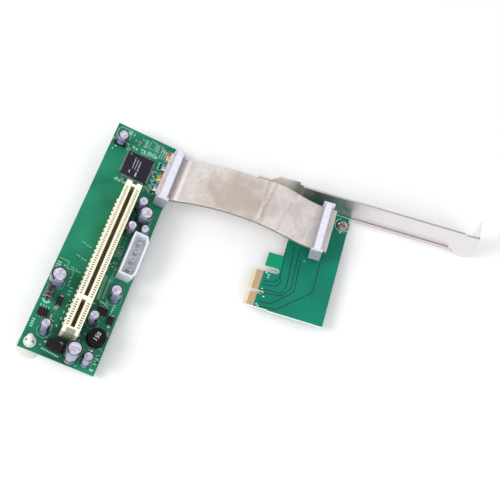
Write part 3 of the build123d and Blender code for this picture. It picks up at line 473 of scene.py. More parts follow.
def cloth_material():
    """Metallised fabric tape: fine weave, mottled tone, a browner rubbed patch."""
    m = Mat("metallised_cloth", SETTLE)
    x, y, z = m.axes()
    warp = m.wave(2.6, m.scaled((1, 1, 1), turn=(0, 0, 0.02)), 0.6, "X", 1.0)
    weft = m.wave(2.6, m.scaled((1, 1, 1), turn=(0, 0, -0.02)), 0.6, "Y", 1.0)
    weave = m.math("MULTIPLY", warp, weft)
    cloud = m.noise(0.11, 5, 0.6, None, "Fac", 0.6)
    mott = m.noise(0.55, 4, 0.6)
    c = m.ramp(cloud, [(0.28, lin(194, 184, 179)), (0.5, lin(212, 203, 199)), (0.75, lin(222, 215, 212))])
    # rubbed, browner area on the near half, off the middle of the span
    dx = m.math("DIVIDE", m.math("ADD", x, 19.0), 20.0)
    dy = m.math("DIVIDE", m.math("SUBTRACT", y, 47.0), 15.0)
    d = m.math("ADD", m.math("MULTIPLY", dx, dx), m.math("MULTIPLY", dy, dy))
    d = m.math("ADD", d, m.math("MULTIPLY", m.math("SUBTRACT", m.noise(0.16, 4), 0.5), 2.4))
    c = m.mix(m.grey(d, 0.2, 1.3, 0.75, 0.0), c, lin(178, 160, 146))
    c = m.mix(m.grey(mott, 0.5, 0.72, 0.0, 0.4), c, lin(174, 165, 161))
    grainy = m.noise(2.4, 4, 0.7)
    c = m.mix(m.grey(grainy, 0.5, 0.75, 0.0, 0.45), c, lin(160, 150, 146))
    # painted shade on the run down from the main connector, then a painted highlight on the ridge of the first fold
    k = (SETTLE.inverted() @ BOARD).inverted()
    xb = m.math("ADD", m.math("MULTIPLY", x, k[0][0]), m.math("MULTIPLY", y, k[0][1]))
    xb = m.math("ADD", m.math("ADD", xb, m.math("MULTIPLY", z, k[0][2])), k[0][3])
    wob = m.math("MULTIPLY", m.math("SUBTRACT", m.noise(0.2, 2), 0.5), 1.6)
    xb = m.math("ADD", xb, wob)
    dip_shade = m.math("MULTIPLY", m.grey(xb, 36.4, 37.0, 0.0, 1.0), m.grey(xb, 38.9, 40.2, 1.0, 0.0))
    c = m.mix(m.math("MULTIPLY", dip_shade, 0.72), c, lin(150, 140, 134))
    # painted highlight on the ridge of the first fold
    top = m.grey(m.math("ABSOLUTE", m.math("SUBTRACT", xb, 41.5)), 0.5, 1.5, 1.0, 0.0)
    c = m.mix(m.math("MULTIPLY", top, 0.7), c, lin(238, 232, 227))
    # shade gathers where the cloth runs down to the card's connector
    down = m.math("MULTIPLY", m.grey(x, 21.0, 25.6, 0.0, 0.6), m.grey(x, 26.1, 26.5, 1.0, 0.0))
    c = m.mix(down, c, lin(146, 137, 131))
    # painted highlight on the raised creases, painted shade in the hollows
    at_ = m.t.nodes.new("ShaderNodeAttribute")
    at_.attribute_name = "relief"
    crease_highlight = m.math("MULTIPLY", m.grey(at_.outputs["Fac"], 0.14, 0.5, 0.0, 1.0), m.grey(m.noise(0.3, 3), 0.38, 0.62, 0.1, 0.6))
    c = m.mix(crease_highlight, c, lin(236, 228, 222))
    # painted shade in the hollows between creases
    c = m.mix(m.grey(at_.outputs["Fac"], -0.28, -0.08, 0.35, 0.0), c, lin(164, 153, 147))
    m.base(c)
    m.rough(m.grey(mott, 0.3, 0.7, 0.42, 0.58))
    m.bump(m.math("ADD", m.math("MULTIPLY", weave, 0.3), m.math("MULTIPLY", mott, 0.8)), 0.14, 0.8)
    m.set(metal=0.15)
    return m.m


M_CLOTH = cloth_material()
M_EDGE = plastic("cloth_edge", lin(122, 108, 100), 0.6, 0.2, 1.5, 0.06, None, SETTLE)
WIRES = [("brown", lin(150, 84, 60)), ("red", lin(222, 96, 84)), ("orange", lin(238, 150, 84)),
         ("yellow", lin(236, 222, 96)), ("green", lin(96, 170, 96)), ("blue", lin(66, 104, 176)),
         ("violet", lin(150, 110, 176)), ("grey", lin(176, 172, 182)), ("white", lin(240, 238, 242)),
         ("black", lin(40, 38, 44))]
M_WIRES = [plastic("wire_" + n, c, 0.4, 0.08, 3.0, 0.02, None, BOARD) for n, c in WIRES]

# ------------------------------------------------------------------
# mesh pieces in a board or card frame, in millimetres
# ------------------------------------------------------------------


class Piece:
    def __init__(self, name, space, mats):
        self.name, self.space, self.mats = name, space, mats
        self.v, self.f, self.mi, self.sm = [], [], [], []

    def add(self, verts, faces, mi=0, smooth=False):
        o = len(self.v)
        self.v += [Vector(p) for p in verts]
        for f in faces:
            self.f.append([o + i for i in f])
            self.mi.append(mi)
            self.sm.append(smooth)

    def prism(self, pts, z0, z1, mi=0, smooth=False):
        """Closed prism over a counter-clockwise outline."""
        n = len(pts)
        verts = [(x, y, z0) for x, y in pts] + [(x, y, z1) for x, y in pts]
        faces = [list(range(n - 1, -1, -1)), list(range(n, 2 * n))]
        faces += [[i, (i + 1) % n, n + (i + 1) % n, n + i] for i in range(n)]
        self.add(verts, faces, mi, smooth)

    def rect(self, cx, cy, w, l, z0, z1, turn=0.0, mi=0):
        c, s = math.cos(math.radians(turn)), math.sin(math.radians(turn))
        pts = [(cx + a * w / 2 * c - b * l / 2 * s, cy + a * w / 2 * s + b * l / 2 * c)
               for a, b in ((-1, -1), (1, -1), (1, 1), (-1, 1))]
        self.prism(pts, z0, z1, mi)

    def disc(self, cx, cy, r, z0, z1, mi=0, n=28):
        self.prism([(cx + r * math.cos(2 * math.pi * i / n), cy + r * math.sin(2 * math.pi * i / n))
                    for i in range(n)], z0, z1, mi)

    def ring(self, cx, cy, r, w, z0, z1, mi=0, a0=0.0, a1=360.0, n=36):
        full = abs(a1 - a0) >= 359.9
        k = n if full else n + 1
        verts, faces = [], []
        for i in range(k):
            a = math.radians(a0 + (a1 - a0) * i / n)
            for rr, zz in ((r - w / 2, z0), (r + w / 2, z0), (r + w / 2, z1), (r - w / 2, z1)):
                verts.append((cx + rr * math.cos(a), cy + rr * math.sin(a), zz))
        for i in range(n):
            a, b = i * 4, ((i + 1) % k) * 4
            for j in range(4):
                faces.append([a + j, a + (j + 1) % 4, b + (j + 1) % 4, b + j])
        if not full:
            faces += [[3, 2, 1, 0], [4 * n, 4 * n + 1, 4 * n + 2, 4 * n + 3]]
        self.add(verts, faces, mi)

    def line(self, pts, w, z0, z1, mi=0):
        """Mitred strip of width w along an open polyline."""
        P = [Vector((x, y)) for x, y in pts]
        L, R = [], []
        for i, p in enumerate(P):
            a = (p - P[i - 1]).normalized() if i else (P[1] - p).normalized()
            b = (P[i + 1] - p).normalized() if i < len(P) - 1 else a
            t = (a + b).normalized()
            n = Vector((-t.y, t.x))
            k = w / 2 / max(0.35, n.dot(Vector((-a.y, a.x))))
            L.append(p + n * k)
            R.append(p - n * k)
        n = len(P)
        verts = [(q.x, q.y, z) for z in (z0, z1) for S in (R, L) for q in S]
        faces = []
        for i in range(n - 1):
            a = [i, i + 1, n + i + 1, n + i]          # bottom: R, R, L, L
            faces.append(a[::-1])
            faces.append([2 * n + j for j in a])
            faces.append([i, i + 1, 2 * n + i + 1, 2 * n + i])
            faces.append([n + i + 1, n + i, 3 * n + i, 3 * n + i + 1])
        faces.append([n, 0, 2 * n, 3 * n])
        faces.append([n - 1, 2 * n - 1, 4 * n - 1, 3 * n - 1])
        self.add(verts, faces, mi)

    def lathe(self, prof, seg, mats, base=None, axis=None, stripe=None, x_dir=None):
        """Turns prof, a list of (r, z), about axis from base. mats gives a slot for each band."""
        u = (Vector(axis) if axis else Vector((0, 0, 1))).normalized()
        e = Vector(x_dir or (1, 0, 0))
        e = (e - u * e.dot(u)).normalized()
        g = u.cross(e)
        o = Vector(base or (0, 0, 0))
        verts = []
        for r, z in prof:
            for i in range(seg):
                a = 2 * math.pi * i / seg
                verts.append(o + u * z + (e * math.cos(a) + g * math.sin(a)) * r)
        k = len(self.v)
        self.v += verts
        for j in range(len(prof) - 1):
            for i in range(seg):
                i2 = (i + 1) % seg
                mi = mats[j]
                if stripe and mi == stripe[0] and stripe[1] <= i < stripe[2]:
                    mi = stripe[3]
                self.f.append([k + j * seg + i, k + j * seg + i2, k + (j + 1) * seg + i2, k + (j + 1) * seg + i])
                self.mi.append(mi)
                self.sm.append(True)

    def tube(self, pts, r, seg=8, mi=0, cap=True):
        P = [Vector(p) for p in pts]
        prev = None
        k = len(self.v)
        for i, p in enumerate(P):
            t = ((P[min(i + 1, len(P) - 1)]) - P[max(i - 1, 0)]).normalized()
            e = Vector((0, 0, 1)) if prev is None else prev
            e = (e - t * e.dot(t)).normalized()
            prev = e
            g = t.cross(e)
            for j in range(seg):
                a = 2 * math.pi * j / seg
                self.v.append(p + (e * math.cos(a) + g * math.sin(a)) * r)
        for i in range(len(P) - 1):
            for j in range(seg):
                j2 = (j + 1) % seg
                self.f.append([k + i * seg + j, k + i * seg + j2, k + (i + 1) * seg + j2, k + (i + 1) * seg + j])
                self.mi.append(mi)
                self.sm.append(True)
        if cap:
            self.f.append([k + j for j in range(seg)][::-1])
            self.f.append([k + (len(P) - 1) * seg + j for j in range(seg)])
            self.mi += [mi, mi]
            self.sm += [False, False]

    def build(self, replaces=(), auto=None):
        me = bpy.data.meshes.new(self.name)
        T = MM @ self.space
        me.from_pydata([T @ p for p in self.v], [], self.f)
        for m in self.mats:
            me.materials.append(m)
        me.polygons.foreach_set("material_index", self.mi)
        me.polygons.foreach_set("use_smooth", self.sm)
        me.validate()
        me.update()
        if auto is not None:
            me.set_sharp_from_angle(angle=math.radians(auto))
        ob = bpy.data.objects.new(self.name, me)
        bpy.context.scene.collection.objects.link(ob)
        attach(ob, "root")
        if replaces:
            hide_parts(*replaces)
        return ob


def dress(node, mat):
    ob = NODES[node]
    if not ob.material_slots:
        raise RuntimeError("no slot on " + node)
    for s in ob.material_slots:
        s.material = mat


for node, mat in {
        "bridge_board": M_BOARD, "bridge_board_solder": M_SOLDER, "pci_slot_housing": M_SLOT,
        "pci_slot_contacts": M_CONTACT, "bridge_chip": M_EPOXY, "bridge_chip_leads": M_TIN,
        "power_header_housing": M_HEADER, "power_header_pins": M_TIN,
        "main_header_base": M_BODY, "main_header_pins": M_CONTACT, "main_socket_body": M_CONN,
        "main_socket_contacts": M_CONTACT, "main_socket_cap": M_CONN,
        "card_header_base": M_BODY, "card_header_pins": M_CONTACT, "card_socket_body": M_CONN2,
        "card_socket_contacts": M_CONTACT, "card_socket_cap": M_CONN2,
        "capacitor_leads": M_TIN, "capacitor_corner_base": M_EPOXY2, "capacitor_corner_terminals": M_TIN,
        "inductor_core": M_FERRITE, "inductor_winding": M_COPPER, "inductor_terminals": M_TIN,
        "driver_right": M_EPOXY2, "driver_left": M_EPOXY2, "driver_leads": M_TIN,
        "diode_right": M_EPOXY2, "diode_left": M_EPOXY2, "diode_leads": M_TIN,
        "regulator": M_EPOXY2, "regulator_tab_and_leads": M_DARKTIN,
        "chip_components": M_CERAMIC, "chip_component_ends": M_TIN, "board_standoff": M_NYLON,
        "edge_card": M_CARD, "edge_card_fingers": M_GOLD, "edge_card_solder": M_SOLDER,
        "card_bracket": M_STEEL, "bracket_screws": M_SCREW, "shield_wrap": M_CLOTH,
        "ribbon_cable": M_WIRES[7]}.items():
    dress(node, mat)

# ------------------------------------------------------------------
# capacitors: shrink sleeve turned over the rim, scored can top, stripe
# ------------------------------------------------------------------
CAPS = [
    ("capacitor_a", (27.6, 89.75, 0), (27.4, 89.85, 12.0), 2.65, -120),
    ("capacitor_b", (31.2, 84.0, 0), (31.0, 84.3, 12.5), 3.75, -135),
    ("capacitor_c", (27.2, 75.9, 0), (26.85, 75.17, 12.0), 2.5, -110),
    ("capacitor_d", (34.0, 77.7, 0), (33.6, 76.72, 10.6), 2.4, -130),
    ("capacitor_e", (33.47, 40.07, 0), (32.2, 40.41, 12.4), 3.15, -115),
    ("capacitor_f", (28.1, 24.3, 0), (26.95, 24.8, 12.4), 2.6, -140),
    ("capacitor_g", (24.79, 4.35, 0), (24.48, 5.31, 16.4), 3.9, -120),
    ("capacitor_h", (32.53, 4.18, 0), (31.96, 5.08, 12.4), 2.6, -135),
    ("capacitor_i", (4.4, 36.5, 0), (4.4, 36.5, 12.5), 4.0, -110),
    ("capacitor_k", (8.5, 11.3, 0), (7.9, 12.4, 11.5), 2.6, -125),
]


def capacitor(name, base, top, r, turn, node, corner=False):
    b, t = Vector(base), Vector(top)
    u = (t - b).normalized()
    h = (t - b).length
    lift = 0.0 if corner else 0.35 + r * math.hypot(u.x, u.y)
    h -= lift
    p = Piece(name, BOARD, [M_SLEEVE, M_CAN, M_STRIPE, M_RUBBER])
    lip = r * 0.77
    prof = [(0.001, 0.02), (r - 0.3, 0.02), (r - 0.08, 0.12), (r, 0.35), (r, 1.35), (r - 0.12, 1.55), (r - 0.3, 1.8),
            (r - 0.3, 2.0), (r - 0.12, 2.2), (r, 2.4), (r, h * 0.5), (r, h - 0.5), (r - 0.07, h - 0.22),
            (r - 0.25, h - 0.04), ((r + lip) / 2, h), (lip, h - 0.02), (lip - 0.04, h - 0.10),
            (lip - 0.12, h - 0.14), (lip * 0.55, h - 0.15), (0.001, h - 0.15)]
    mats = [3, 1] + [0] * 13 + [0, 1, 1, 1]
    seg = 56
    p.lathe(prof, seg, mats, b + u * lift, u, (0, 0, 11, 2),
            (math.cos(math.radians(turn)), math.sin(math.radians(turn)), 0))
    # scored cross on the can top
    e = Vector((math.cos(math.radians(turn + 25)), math.sin(math.radians(turn + 25)), 0))
    e = (e - u * e.dot(u)).normalized()
    g = u.cross(e)
    c = b + u * (lift + h - 0.15)
    for d, q in ((e, g), (g, e)):
        a = lip * 0.82
        w = 0.05
        k = len(p.v)
        for s1, s2, zz in ((-1, -1, 0.012), (1, -1, 0.012), (1, 1, 0.012), (-1, 1, 0.012),
                           (-1, -1, -0.02), (1, -1, -0.02), (1, 1, -0.02), (-1, 1, -0.02)):
            p.v.append(c + d * (s1 * a) + q * (s2 * w) + u * zz)
        for f in ([0, 1, 2, 3], [7, 6, 5, 4], [0, 4, 5, 1], [1, 5, 6, 2], [2, 6, 7, 3], [3, 7, 4, 0]):
            p.f.append([k + i for i in f])
            p.mi.append(2)
            p.sm.append(False)
    return p.build([node], 50)


for name, b, t, r, turn in CAPS:
    capacitor("can_" + name[-1], b, t, r, turn, name)
capacitor("can_corner", (4.75, 121.75, 1.2), (4.75, 121.75, 8.0), 3.0, -125, "capacitor_corner", True)
capacitor("can_j", (3.7, 26.6, 2.45), (3.7, 32.2, 2.45), 2.35, 90, "capacitor_j", True)

# ------------------------------------------------------------------
# ribbon: twenty round wires joined side by side, inside the cloth
# ------------------------------------------------------------------
ZR = 10.4
HR = 12.7


def at(space, x, y, z):
    return space @ Vector((x, y, z))


def pair(space, x, cy):
    return at(space, x, cy + HR, ZR), at(space, x, cy - HR, ZR)


far = [(-49.9, 18.4), (-46.0, 19.1), (-41.0, 20.4), (-35.0, 21.6), (-28.5, 22.5), (-21.3, 23.0), (-13.2, 22.5),
       (-6.0, 22.4), (0.5, 22.5), (6.0, 21.1), (12.5, 18.1), (18.6, 15.4)]
near = [(-50.1, 18.0), (-46.2, 19.3), (-41.0, 21.0), (-35.0, 22.2), (-27.5, 23.3), (-20.3, 23.9), (-14.0, 23.7),
        (-6.0, 22.9), (1.5, 21.0), (6.5, 19.4), (12.6, 17.4), (18.6, 15.3)]
route = [pair(BOARD, 29.4, 109.5), pair(BOARD, 31.2, 109.5), pair(BOARD, 32.5, 109.5), pair(BOARD, 38.5, 109.5)]
bl = SETTLE.inverted() @ route[-1][0]
bn = SETTLE.inverted() @ route[-1][1]
for (fx, fz), (nx, nz) in zip(far, near):
    tf, tn = (fx + 51.5) / (24.9 + 51.5), (nx + 51.5) / (24.9 + 51.5)
    route.append((at(SETTLE, fx, bl.y + (61.0 - bl.y) * tf, fz), at(SETTLE, nx, bn.y + (35.6 - bn.y) * tn, nz)))
route += [pair(CARD, 24.9, 48.3), pair(CARD, 30.9, 48.3), pair(CARD, 32.3, 48.3), pair(CARD, 32.8, 48.3)]


def spline(P, per):
    """Centripetal-like smooth line through P, with straight ends, per samples a span."""
    out = []
    n = len(P)
    for i in range(n - 1):
        p0, p1, p2, p3 = P[max(i - 1, 0)], P[i], P[i + 1], P[min(i + 2, n - 1)]
        d1 = (p2 - p0) * 0.5
        d2 = (p3 - p1) * 0.5
        L = (p2 - p1).length
        d1 = d1.normalized() * L
        d2 = d2.normalized() * L
        for k in range(per):
            t = k / per
            a, b = 2 * t ** 3 - 3 * t ** 2 + 1, t ** 3 - 2 * t ** 2 + t
            c, d = -2 * t ** 3 + 3 * t ** 2, t ** 3 - t ** 2
            out.append(p1 * a + d1 * b + p2 * c + d2 * d)
    out.append(P[-1])
    return out


PER = 10
FAR = spline([a for a, _ in route], PER)
NEAR = spline([b for _, b in route], PER)
ARC = [0.0]
for i in range(1, len(FAR)):
    ARC.append(ARC[-1] + ((FAR[i] + NEAR[i]) * 0.5 - (FAR[i - 1] + NEAR[i - 1]) * 0.5).length)


def up_at(i):
    a, b = max(i - 1, 0), min(i + 1, len(FAR) - 1)
    along = ((FAR[b] + NEAR[b]) - (FAR[a] + NEAR[a])).normalized()
    across = (FAR[i] - NEAR[i]).normalized()
    return along.cross(across).normalized(), across, along


wires = Piece("ribbon_wires", Matrix.Identity(4), M_WIRES)
last = len(FAR) - PER                     # the ribbon stops just short of the cloth's far end
for w in range(20):
    s = (w + 0.5) / 20
    pts = [FAR[i] * (1 - s) + NEAR[i] * s for i in range(0, last, 2)]
    # the cut ends are uneven and fan out a little
    trim = rnd.uniform(-0.25, 0.25)
    pts[0] = pts[0] + (pts[0] - pts[1]).normalized() * trim
    wires.tube(pts, 0.43, 8, w % 10)
wires.build(["ribbon_cable"])

# ------------------------------------------------------------------
# cloth sleeve with folds, creases and a lapped seam
# ------------------------------------------------------------------
first = PER                                # one span in from the cut ends
stop = len(FAR) - 1


def crease(x, c, w, h):
    d = (x - c) / w
    return h * math.exp(-d * d)


def sleeve():
    W, T, R = 26.4, 1.42, 0.62
    half = W / 2
    # section: flat top, rounded side, flat bottom, rounded side
    sec = []
    nx = 44
    for i in range(nx + 1):
        sec.append((half - R - (W - 2 * R) * i / nx, T / 2, 0.0, 1.0))
    for i in range(1, 6):
        a = math.radians(90 + 180 * i / 6)
        sec.append((-half + R + R * math.cos(a), T / 2 * math.sin(a), math.cos(a), math.sin(a)))
    for i in range(nx + 1):
        sec.append((-half + R + (W - 2 * R) * i / nx, -T / 2, 0.0, -1.0))
    for i in range(1, 6):
        a = math.radians(270 + 180 * i / 6)
        sec.append((half - R + R * math.cos(a), T / 2 * math.sin(a), math.cos(a), math.sin(a)))
    idx = list(range(first, stop + 1))
    # cut a finer set of stations
    st = []
    for i in idx[:-1]:
        st += [(i, 0.0), (i, 0.5)]
    st.append((idx[-1], 0.0))
    m = len(sec)
    p = Piece("shield_sleeve", Matrix.Identity(4), [M_CLOTH, M_EDGE])
    rows_out, rows_in = [], []
    lift = []
    for i, f in st:
        j = min(i + 1, len(FAR) - 1)
        mid = ((FAR[i] + NEAR[i]) * (1 - f) + (FAR[j] + NEAR[j]) * f) * 0.5
        u0, a0, t0 = up_at(i)
        u1, a1, t1 = up_at(j)
        up = (u0 * (1 - f) + u1 * f).normalized()
        ac = (a0 * (1 - f) + a1 * f).normalized()
        s = ARC[i] * (1 - f) + ARC[j] * f
        x = (SETTLE.inverted() @ mid).x
        xb = (BOARD.inverted() @ mid).x
        free = min(1.0, max(0.0, (s - 10.6) / 3.0)) * min(1.0, max(0.0, (ARC[-1] - 9.3 - s) / 3.0))
        ro, ri = [], []
        for (q, z, nq, nz) in sec:
            v = q / half                     # +1 far edge, -1 near edge
            h = 0.0
            if free > 0:
                # long soft waves, slanted creases past the crown, small crumple
                h += 0.10 * noise.noise(Vector((s * 0.11, q * 0.12, 3.0)))
                h += 0.10 * noise.noise(Vector((s * 0.45, q * 0.20, 9.0)))
                h += 0.05 * noise.noise(Vector((s * 1.3, q * 0.8, 5.0)))
                xs = x - 1.9 * v
                h += crease(xs, -4.2, 0.7, 0.48) - crease(xs, -2.6, 0.7, 0.30)
                h += crease(xs, 0.2, 0.5, 0.45) * max(0.0, min(1.0, 0.3 - v)) - crease(xs, -6.4, 0.9, 0.2)
                h += crease(x - 2.6 * v, 6.2, 0.9, 0.16) - crease(x - 2.6 * v, 7.6, 0.8, 0.24)
                h += crease(x + 1.2 * v, -5.6, 0.6, 0.36) - crease(x + 1.2 * v, -4.1, 0.6, 0.18) + crease(x - 0.8 * v, -24.0, 1.0, 0.14)
                h += crease(x + 0.5 * v, -34.0, 1.0, 0.10) - crease(x, -31.0, 1.4, 0.08)
                # fold that stands up just outside the main connector
                h += crease(xb, 41.5, 0.9, 0.95) - crease(xb, 39.0, 1.2, 0.28)
                h += crease(x - 1.0 * v, 21.5, 0.8, 0.12)
            h = max(h * free, -0.3)
            if z < 0:
                h = min(h, 0.3)
            lift.append(h)
            # folded edge of the cloth, a thin bead along both sides
            bead = 0.05 * math.exp(-((abs(v) - 0.955) / 0.018) ** 2) * free
            lap = (0.10 if z < 0 and q > 2.0 else 0.0) * free
            side = 0.10 * noise.noise(Vector((s * 0.35, v * 3.0, 21.0))) * free
            out = 1.0 if z >= 0 else -1.0
            o = mid + ac * (q + side * (1 if v > 0 else -1) * (abs(v) > 0.9)) + up * (z + h * 0.8 + out * (bead + lap))
            inn = mid + ac * (q - 0.16 * nq) + up * (z - 0.16 * nz + h * 0.8)
            ro.append(o)
            ri.append(inn)
        rows_out.append(ro)
        rows_in.append(ri)
    n = len(rows_out)
    k = len(p.v)
    for r in rows_out:
        p.v += r
    for r in rows_in:
        p.v += r
    for i in range(n - 1):
        for j in range(m):
            j2 = (j + 1) % m
            p.f.append([k + i * m + j, k + (i + 1) * m + j, k + (i + 1) * m + j2, k + i * m + j2])
            p.f.append([k + n * m + i * m + j2, k + n * m + (i + 1) * m + j2, k + n * m + (i + 1) * m + j,
                        k + n * m + i * m + j])
    for j in range(m):
        j2 = (j + 1) % m
        p.f.append([k + j2, k + n * m + j2, k + n * m + j, k + j])
        e = (n - 1) * m
        p.f.append([k + e + j, k + n * m + e + j, k + n * m + e + j2, k + e + j2])
    for fc in p.f:
        js = [(v - k) % m for v in fc]
        p.mi.append(1 if min(js) > nx and max(js) < nx + 6 else 0)
    p.sm += [True] * (len(p.f) - len(p.sm))
    ob = p.build(["shield_wrap"], 60)
    at_ = ob.data.attributes.new("relief", "FLOAT", "POINT")
    at_.data.foreach_set("value", lift + lift)
    return ob


cloth = sleeve()

# ------------------------------------------------------------------
# print and bare pads on the bridge board
# ------------------------------------------------------------------
Z0, Z1 = 0.0, 0.035
silk = Piece("board_print_marks", BOARD, [M_SILK])
pads = Piece("board_bare_pads", BOARD, [M_PAD])

# ring beside the package's first lead, rings and reference marks left of the slot
silk.ring(9.9, 119.4, 0.75, 0.32, Z0, Z1)
for x, y in ((11.9, 60.1), (12.0, 52.6), (11.8, 45.6)):
    silk.rect(x - 0.9, y, 0.35, 1.0, Z0, Z1, 0)
    silk.rect(x + 0.1, y - 0.3, 0.9, 0.35, Z0, Z1, 0)
    silk.rect(x - 3.6, y + 0.7, 0.9, 0.35, Z0, Z1, 10)
    silk.rect(x - 2.5, y + 0.5, 0.5, 0.7, Z0, Z1, 0)
    silk.disc(x + 1.1, y - 0.2, 0.3, Z0, Z1)
# eight-pad footprint near the top edge
for i in range(4):
    pads.rect(17.6 + 0.1 * i, 128.6 - 1.22 * i, 1.9, 0.55, Z0, 0.05)
    pads.rect(24.1, 129.0 - 1.3 * i, 1.9, 0.55, Z0, 0.05)
silk.line([(19.6, 129.9), (21.0, 129.5), (22.6, 129.6), (22.6, 125.2), (20.6, 124.6), (19.6, 125.4), (19.7, 129.0)], 0.25, Z0, Z1)
# square round the corner can, with its pad
silk.line([(1.2, 122.2), (1.1, 128.2), (2.6, 130.0), (8.5, 130.0), (8.5, 124.2)], 0.3, Z0, Z1)
silk.rect(7.4, 128.4, 1.5, 2.0, Z0, 0.05, 0)
silk.rect(10.0, 128.7, 0.5, 1.7, Z0, Z1, -8)
silk.rect(3.1, 117.9, 0.9, 0.9, Z0, Z1)
silk.disc(15.4, 128.3, 0.45, Z0, Z1)
silk.rect(14.2, 124.6, 0.5, 1.7, Z0, Z1)
for x, y in ((12.0, 121.7), (14.0, 121.3), (16.7, 122.3), (18.4, 121.7)):
    pads.rect(x, y, 0.9, 1.4, Z0, 0.05)
# half-moon print under the lying can
silk.ring(3.7, 26.3, 1.6, 1.1, Z0, Z1, 0, 185, 355)
for i in range(4):
    silk.rect(2.2 + 1.35 * i, 22.9 - 0.1 * i, 0.6, 1.1, Z0, Z1)
# rows of small pads between the package and the connector
for i in range(5):
    pads.rect(27.0 + 1.2 * i, 127.6 - 0.6 * i, 0.8, 2.2, Z0, 0.05)
    pads.rect(20.6 + 1.15 * i, 122.3 - 0.18 * i, 0.8, 1.5, Z0, 0.05)
for y0, y1, x in ((113.4, 110.2, 25.6), (108.6, 105.0, 25.4), (103.4, 100.4, 25.6)):
    silk.line([(x, y0), (x + 5.6, y0)], 0.22, Z0, Z1)
    silk.line([(x, y0), (x, y1)], 0.22, Z0, Z1)
for i in range(9):
    pads.rect(27.6 + (i % 2) * 2.2, 113.6 - 1.45 * i, 1.3, 0.8, Z0, 0.05)
for i in range(4):
    pads.rect(10.4 + 1.6 * i, 100.9 - 0.7 * (i % 2), 0.9, 1.3, Z0, 0.05)
# small marks by the corner capacitor and the top edge
silk.rect(11.9, 125.9, 1.3, 0.5, Z0, Z1, 75)
silk.disc(17.1, 124.6, 0.38, Z0, Z1)
silk.rect(12.8, 121.2, 1.0, 0.5, Z0, Z1, 60)
silk.rect(2.1, 115.9, 0.7, 1.0, Z0, Z1, 0)
# between the slot and the power header
for i in range(5):
    silk.rect(26.2, 66.0 - 1.25 * i, 1.2, 0.45, Z0, Z1, 10)
    silk.rect(28.0, 65.5 - 1.25 * i, 0.9, 0.45, Z0, Z1, 10)
for i in range(3):
    pads.rect(24.9 + 1.7 * i, 55.8 - 0.9 * i, 1.0, 1.0, Z0, 0.05)
# two fine-pitch rows right of the slot
for i in range(21):
    pads.rect(25.5 + 0.03 * i, 49.1 - 0.64 * i, 1.6, 0.3, Z0, 0.05)
for i in range(18):
    pads.rect(28.0 + 0.01 * i, 48.6 - 0.64 * i, 1.2, 0.3, Z0, 0.05)
silk.disc(25.4, 33.6, 0.42, Z0, Z1)
silk.line([(29.4, 51.2), (29.4, 47.2), (27.0, 47.2)], 0.2, Z0, Z1)
for i in range(4):
    silk.rect(28.0 + 1.2 * i, 35.8 - 0.25 * i, 0.7, 1.3, Z0, Z1)
    silk.rect(34.6, 36.6 - 1.5 * i, 1.4, 0.5, Z0, Z1, 60)
    silk.rect(35.5 - 0.3 * i, 35.9 - 1.6 * i, 0.6, 0.9, Z0, Z1, 20)
# outline and pads left of the slot
silk.line([(0.9, 48.5), (6.1, 48.4), (6.2, 44.8), (9.9, 45.0), (10.2, 41.2)], 0.24, Z0, Z1)
for i in range(4):
    pads.rect(2.0, 46.3 - 1.35 * i, 2.2, 0.65, Z0, 0.05)
silk.disc(5.0, 45.7, 0.4, Z0, Z1)
for i in range(3):
    silk.rect(10.0 + 0.2 * i, 40.9 - 1.9 * i, 1.3, 0.55, Z0, Z1, 60)
    silk.rect(12.1 + 0.1 * i, 36.2 - 1.8 * i, 1.6, 0.5, Z0, Z1, 5)
    silk.rect(13.6, 27.0 - 3.4 * i, 0.5, 1.2, Z0, Z1, 10)
# loops round the radial cans, drawn where the board shows beside them
for x, y, r in ((33.3, 40.1, 3.9), (28.1, 24.4, 3.3), (8.5, 11.3, 3.3), (24.8, 4.5, 4.4), (32.5, 4.3, 3.2),
                (27.8, 89.4, 3.2), (31.2, 84.2, 4.6), (4.4, 36.5, 4.6)):
    a0, a1 = (0, 360) if 4.6 < x < 34.4 and y > 4.8 else (-20, 200)
    if x < 4.6:
        a0, a1 = -150, 150
        r = 4.25
    silk.ring(x, y, r, 0.2, Z0, Z1, 0, a0, a1)
# plain marks along the lower edge and in the corners
for i in range(9):
    silk.rect(10.9 + 1.05 * i, 3.3 - 0.12 * i, 0.62, 0.9, Z0, Z1, -4)
silk.rect(9.6, 4.6, 0.4, 0.8, Z0, Z1)
for i in range(4):
    silk.rect(2.0, 14.9 - 1.2 * i, 1.5, 0.7, Z0, Z1, 0)
    silk.rect(36.8, 9.8 - 1.4 * i, 1.5, 0.7, Z0, Z1, 0)
silk.rect(36.4, 2.4, 1.9, 1.1, Z0, Z1)
silk.line([(35.4, 12.9), (36.9, 14.3), (37.5, 12.5)], 0.2, Z0, Z1)
silk.line([(28.0, 1.9), (28.6, 0.9), (29.2, 1.9), (28.0, 1.9)], 0.18, Z0, Z1)
for i in range(3):
    silk.rect(9.0 + 2.0 * i, 13.0 + 1.5 * i, 0.7, 1.3, Z0, Z1, 15 * i)
silk.rect(24.9, 15.9, 0.7, 1.2, Z0, Z1, 10)
silk.rect(25.6, 13.2, 0.7, 1.4, Z0, Z1, 10)
silk.rect(27.0, 17.6, 0.6, 1.2, Z0, Z1, 40)
silk.build()
pads.build()

# plated vias scattered over the board
vias = Piece("board_vias", BOARD, [M_VIA])
for _ in range(70):
    x, y = rnd.uniform(1, 37.6), rnd.uniform(1, 130.5)
    if 14.2 < x < 25.2 and 10 < y < 99 or 9 < x < 27 and 102 < y < 121 or x > 29 and 49 < y < 76 or x > 31 and y > 94:
        continue
    if math.hypot(x - 4.6, y - 4.2) < 4.2:
        continue
    vias.ring(x, y, 0.24, 0.14, 0, 0.03, 0, n=10)
vias.build()

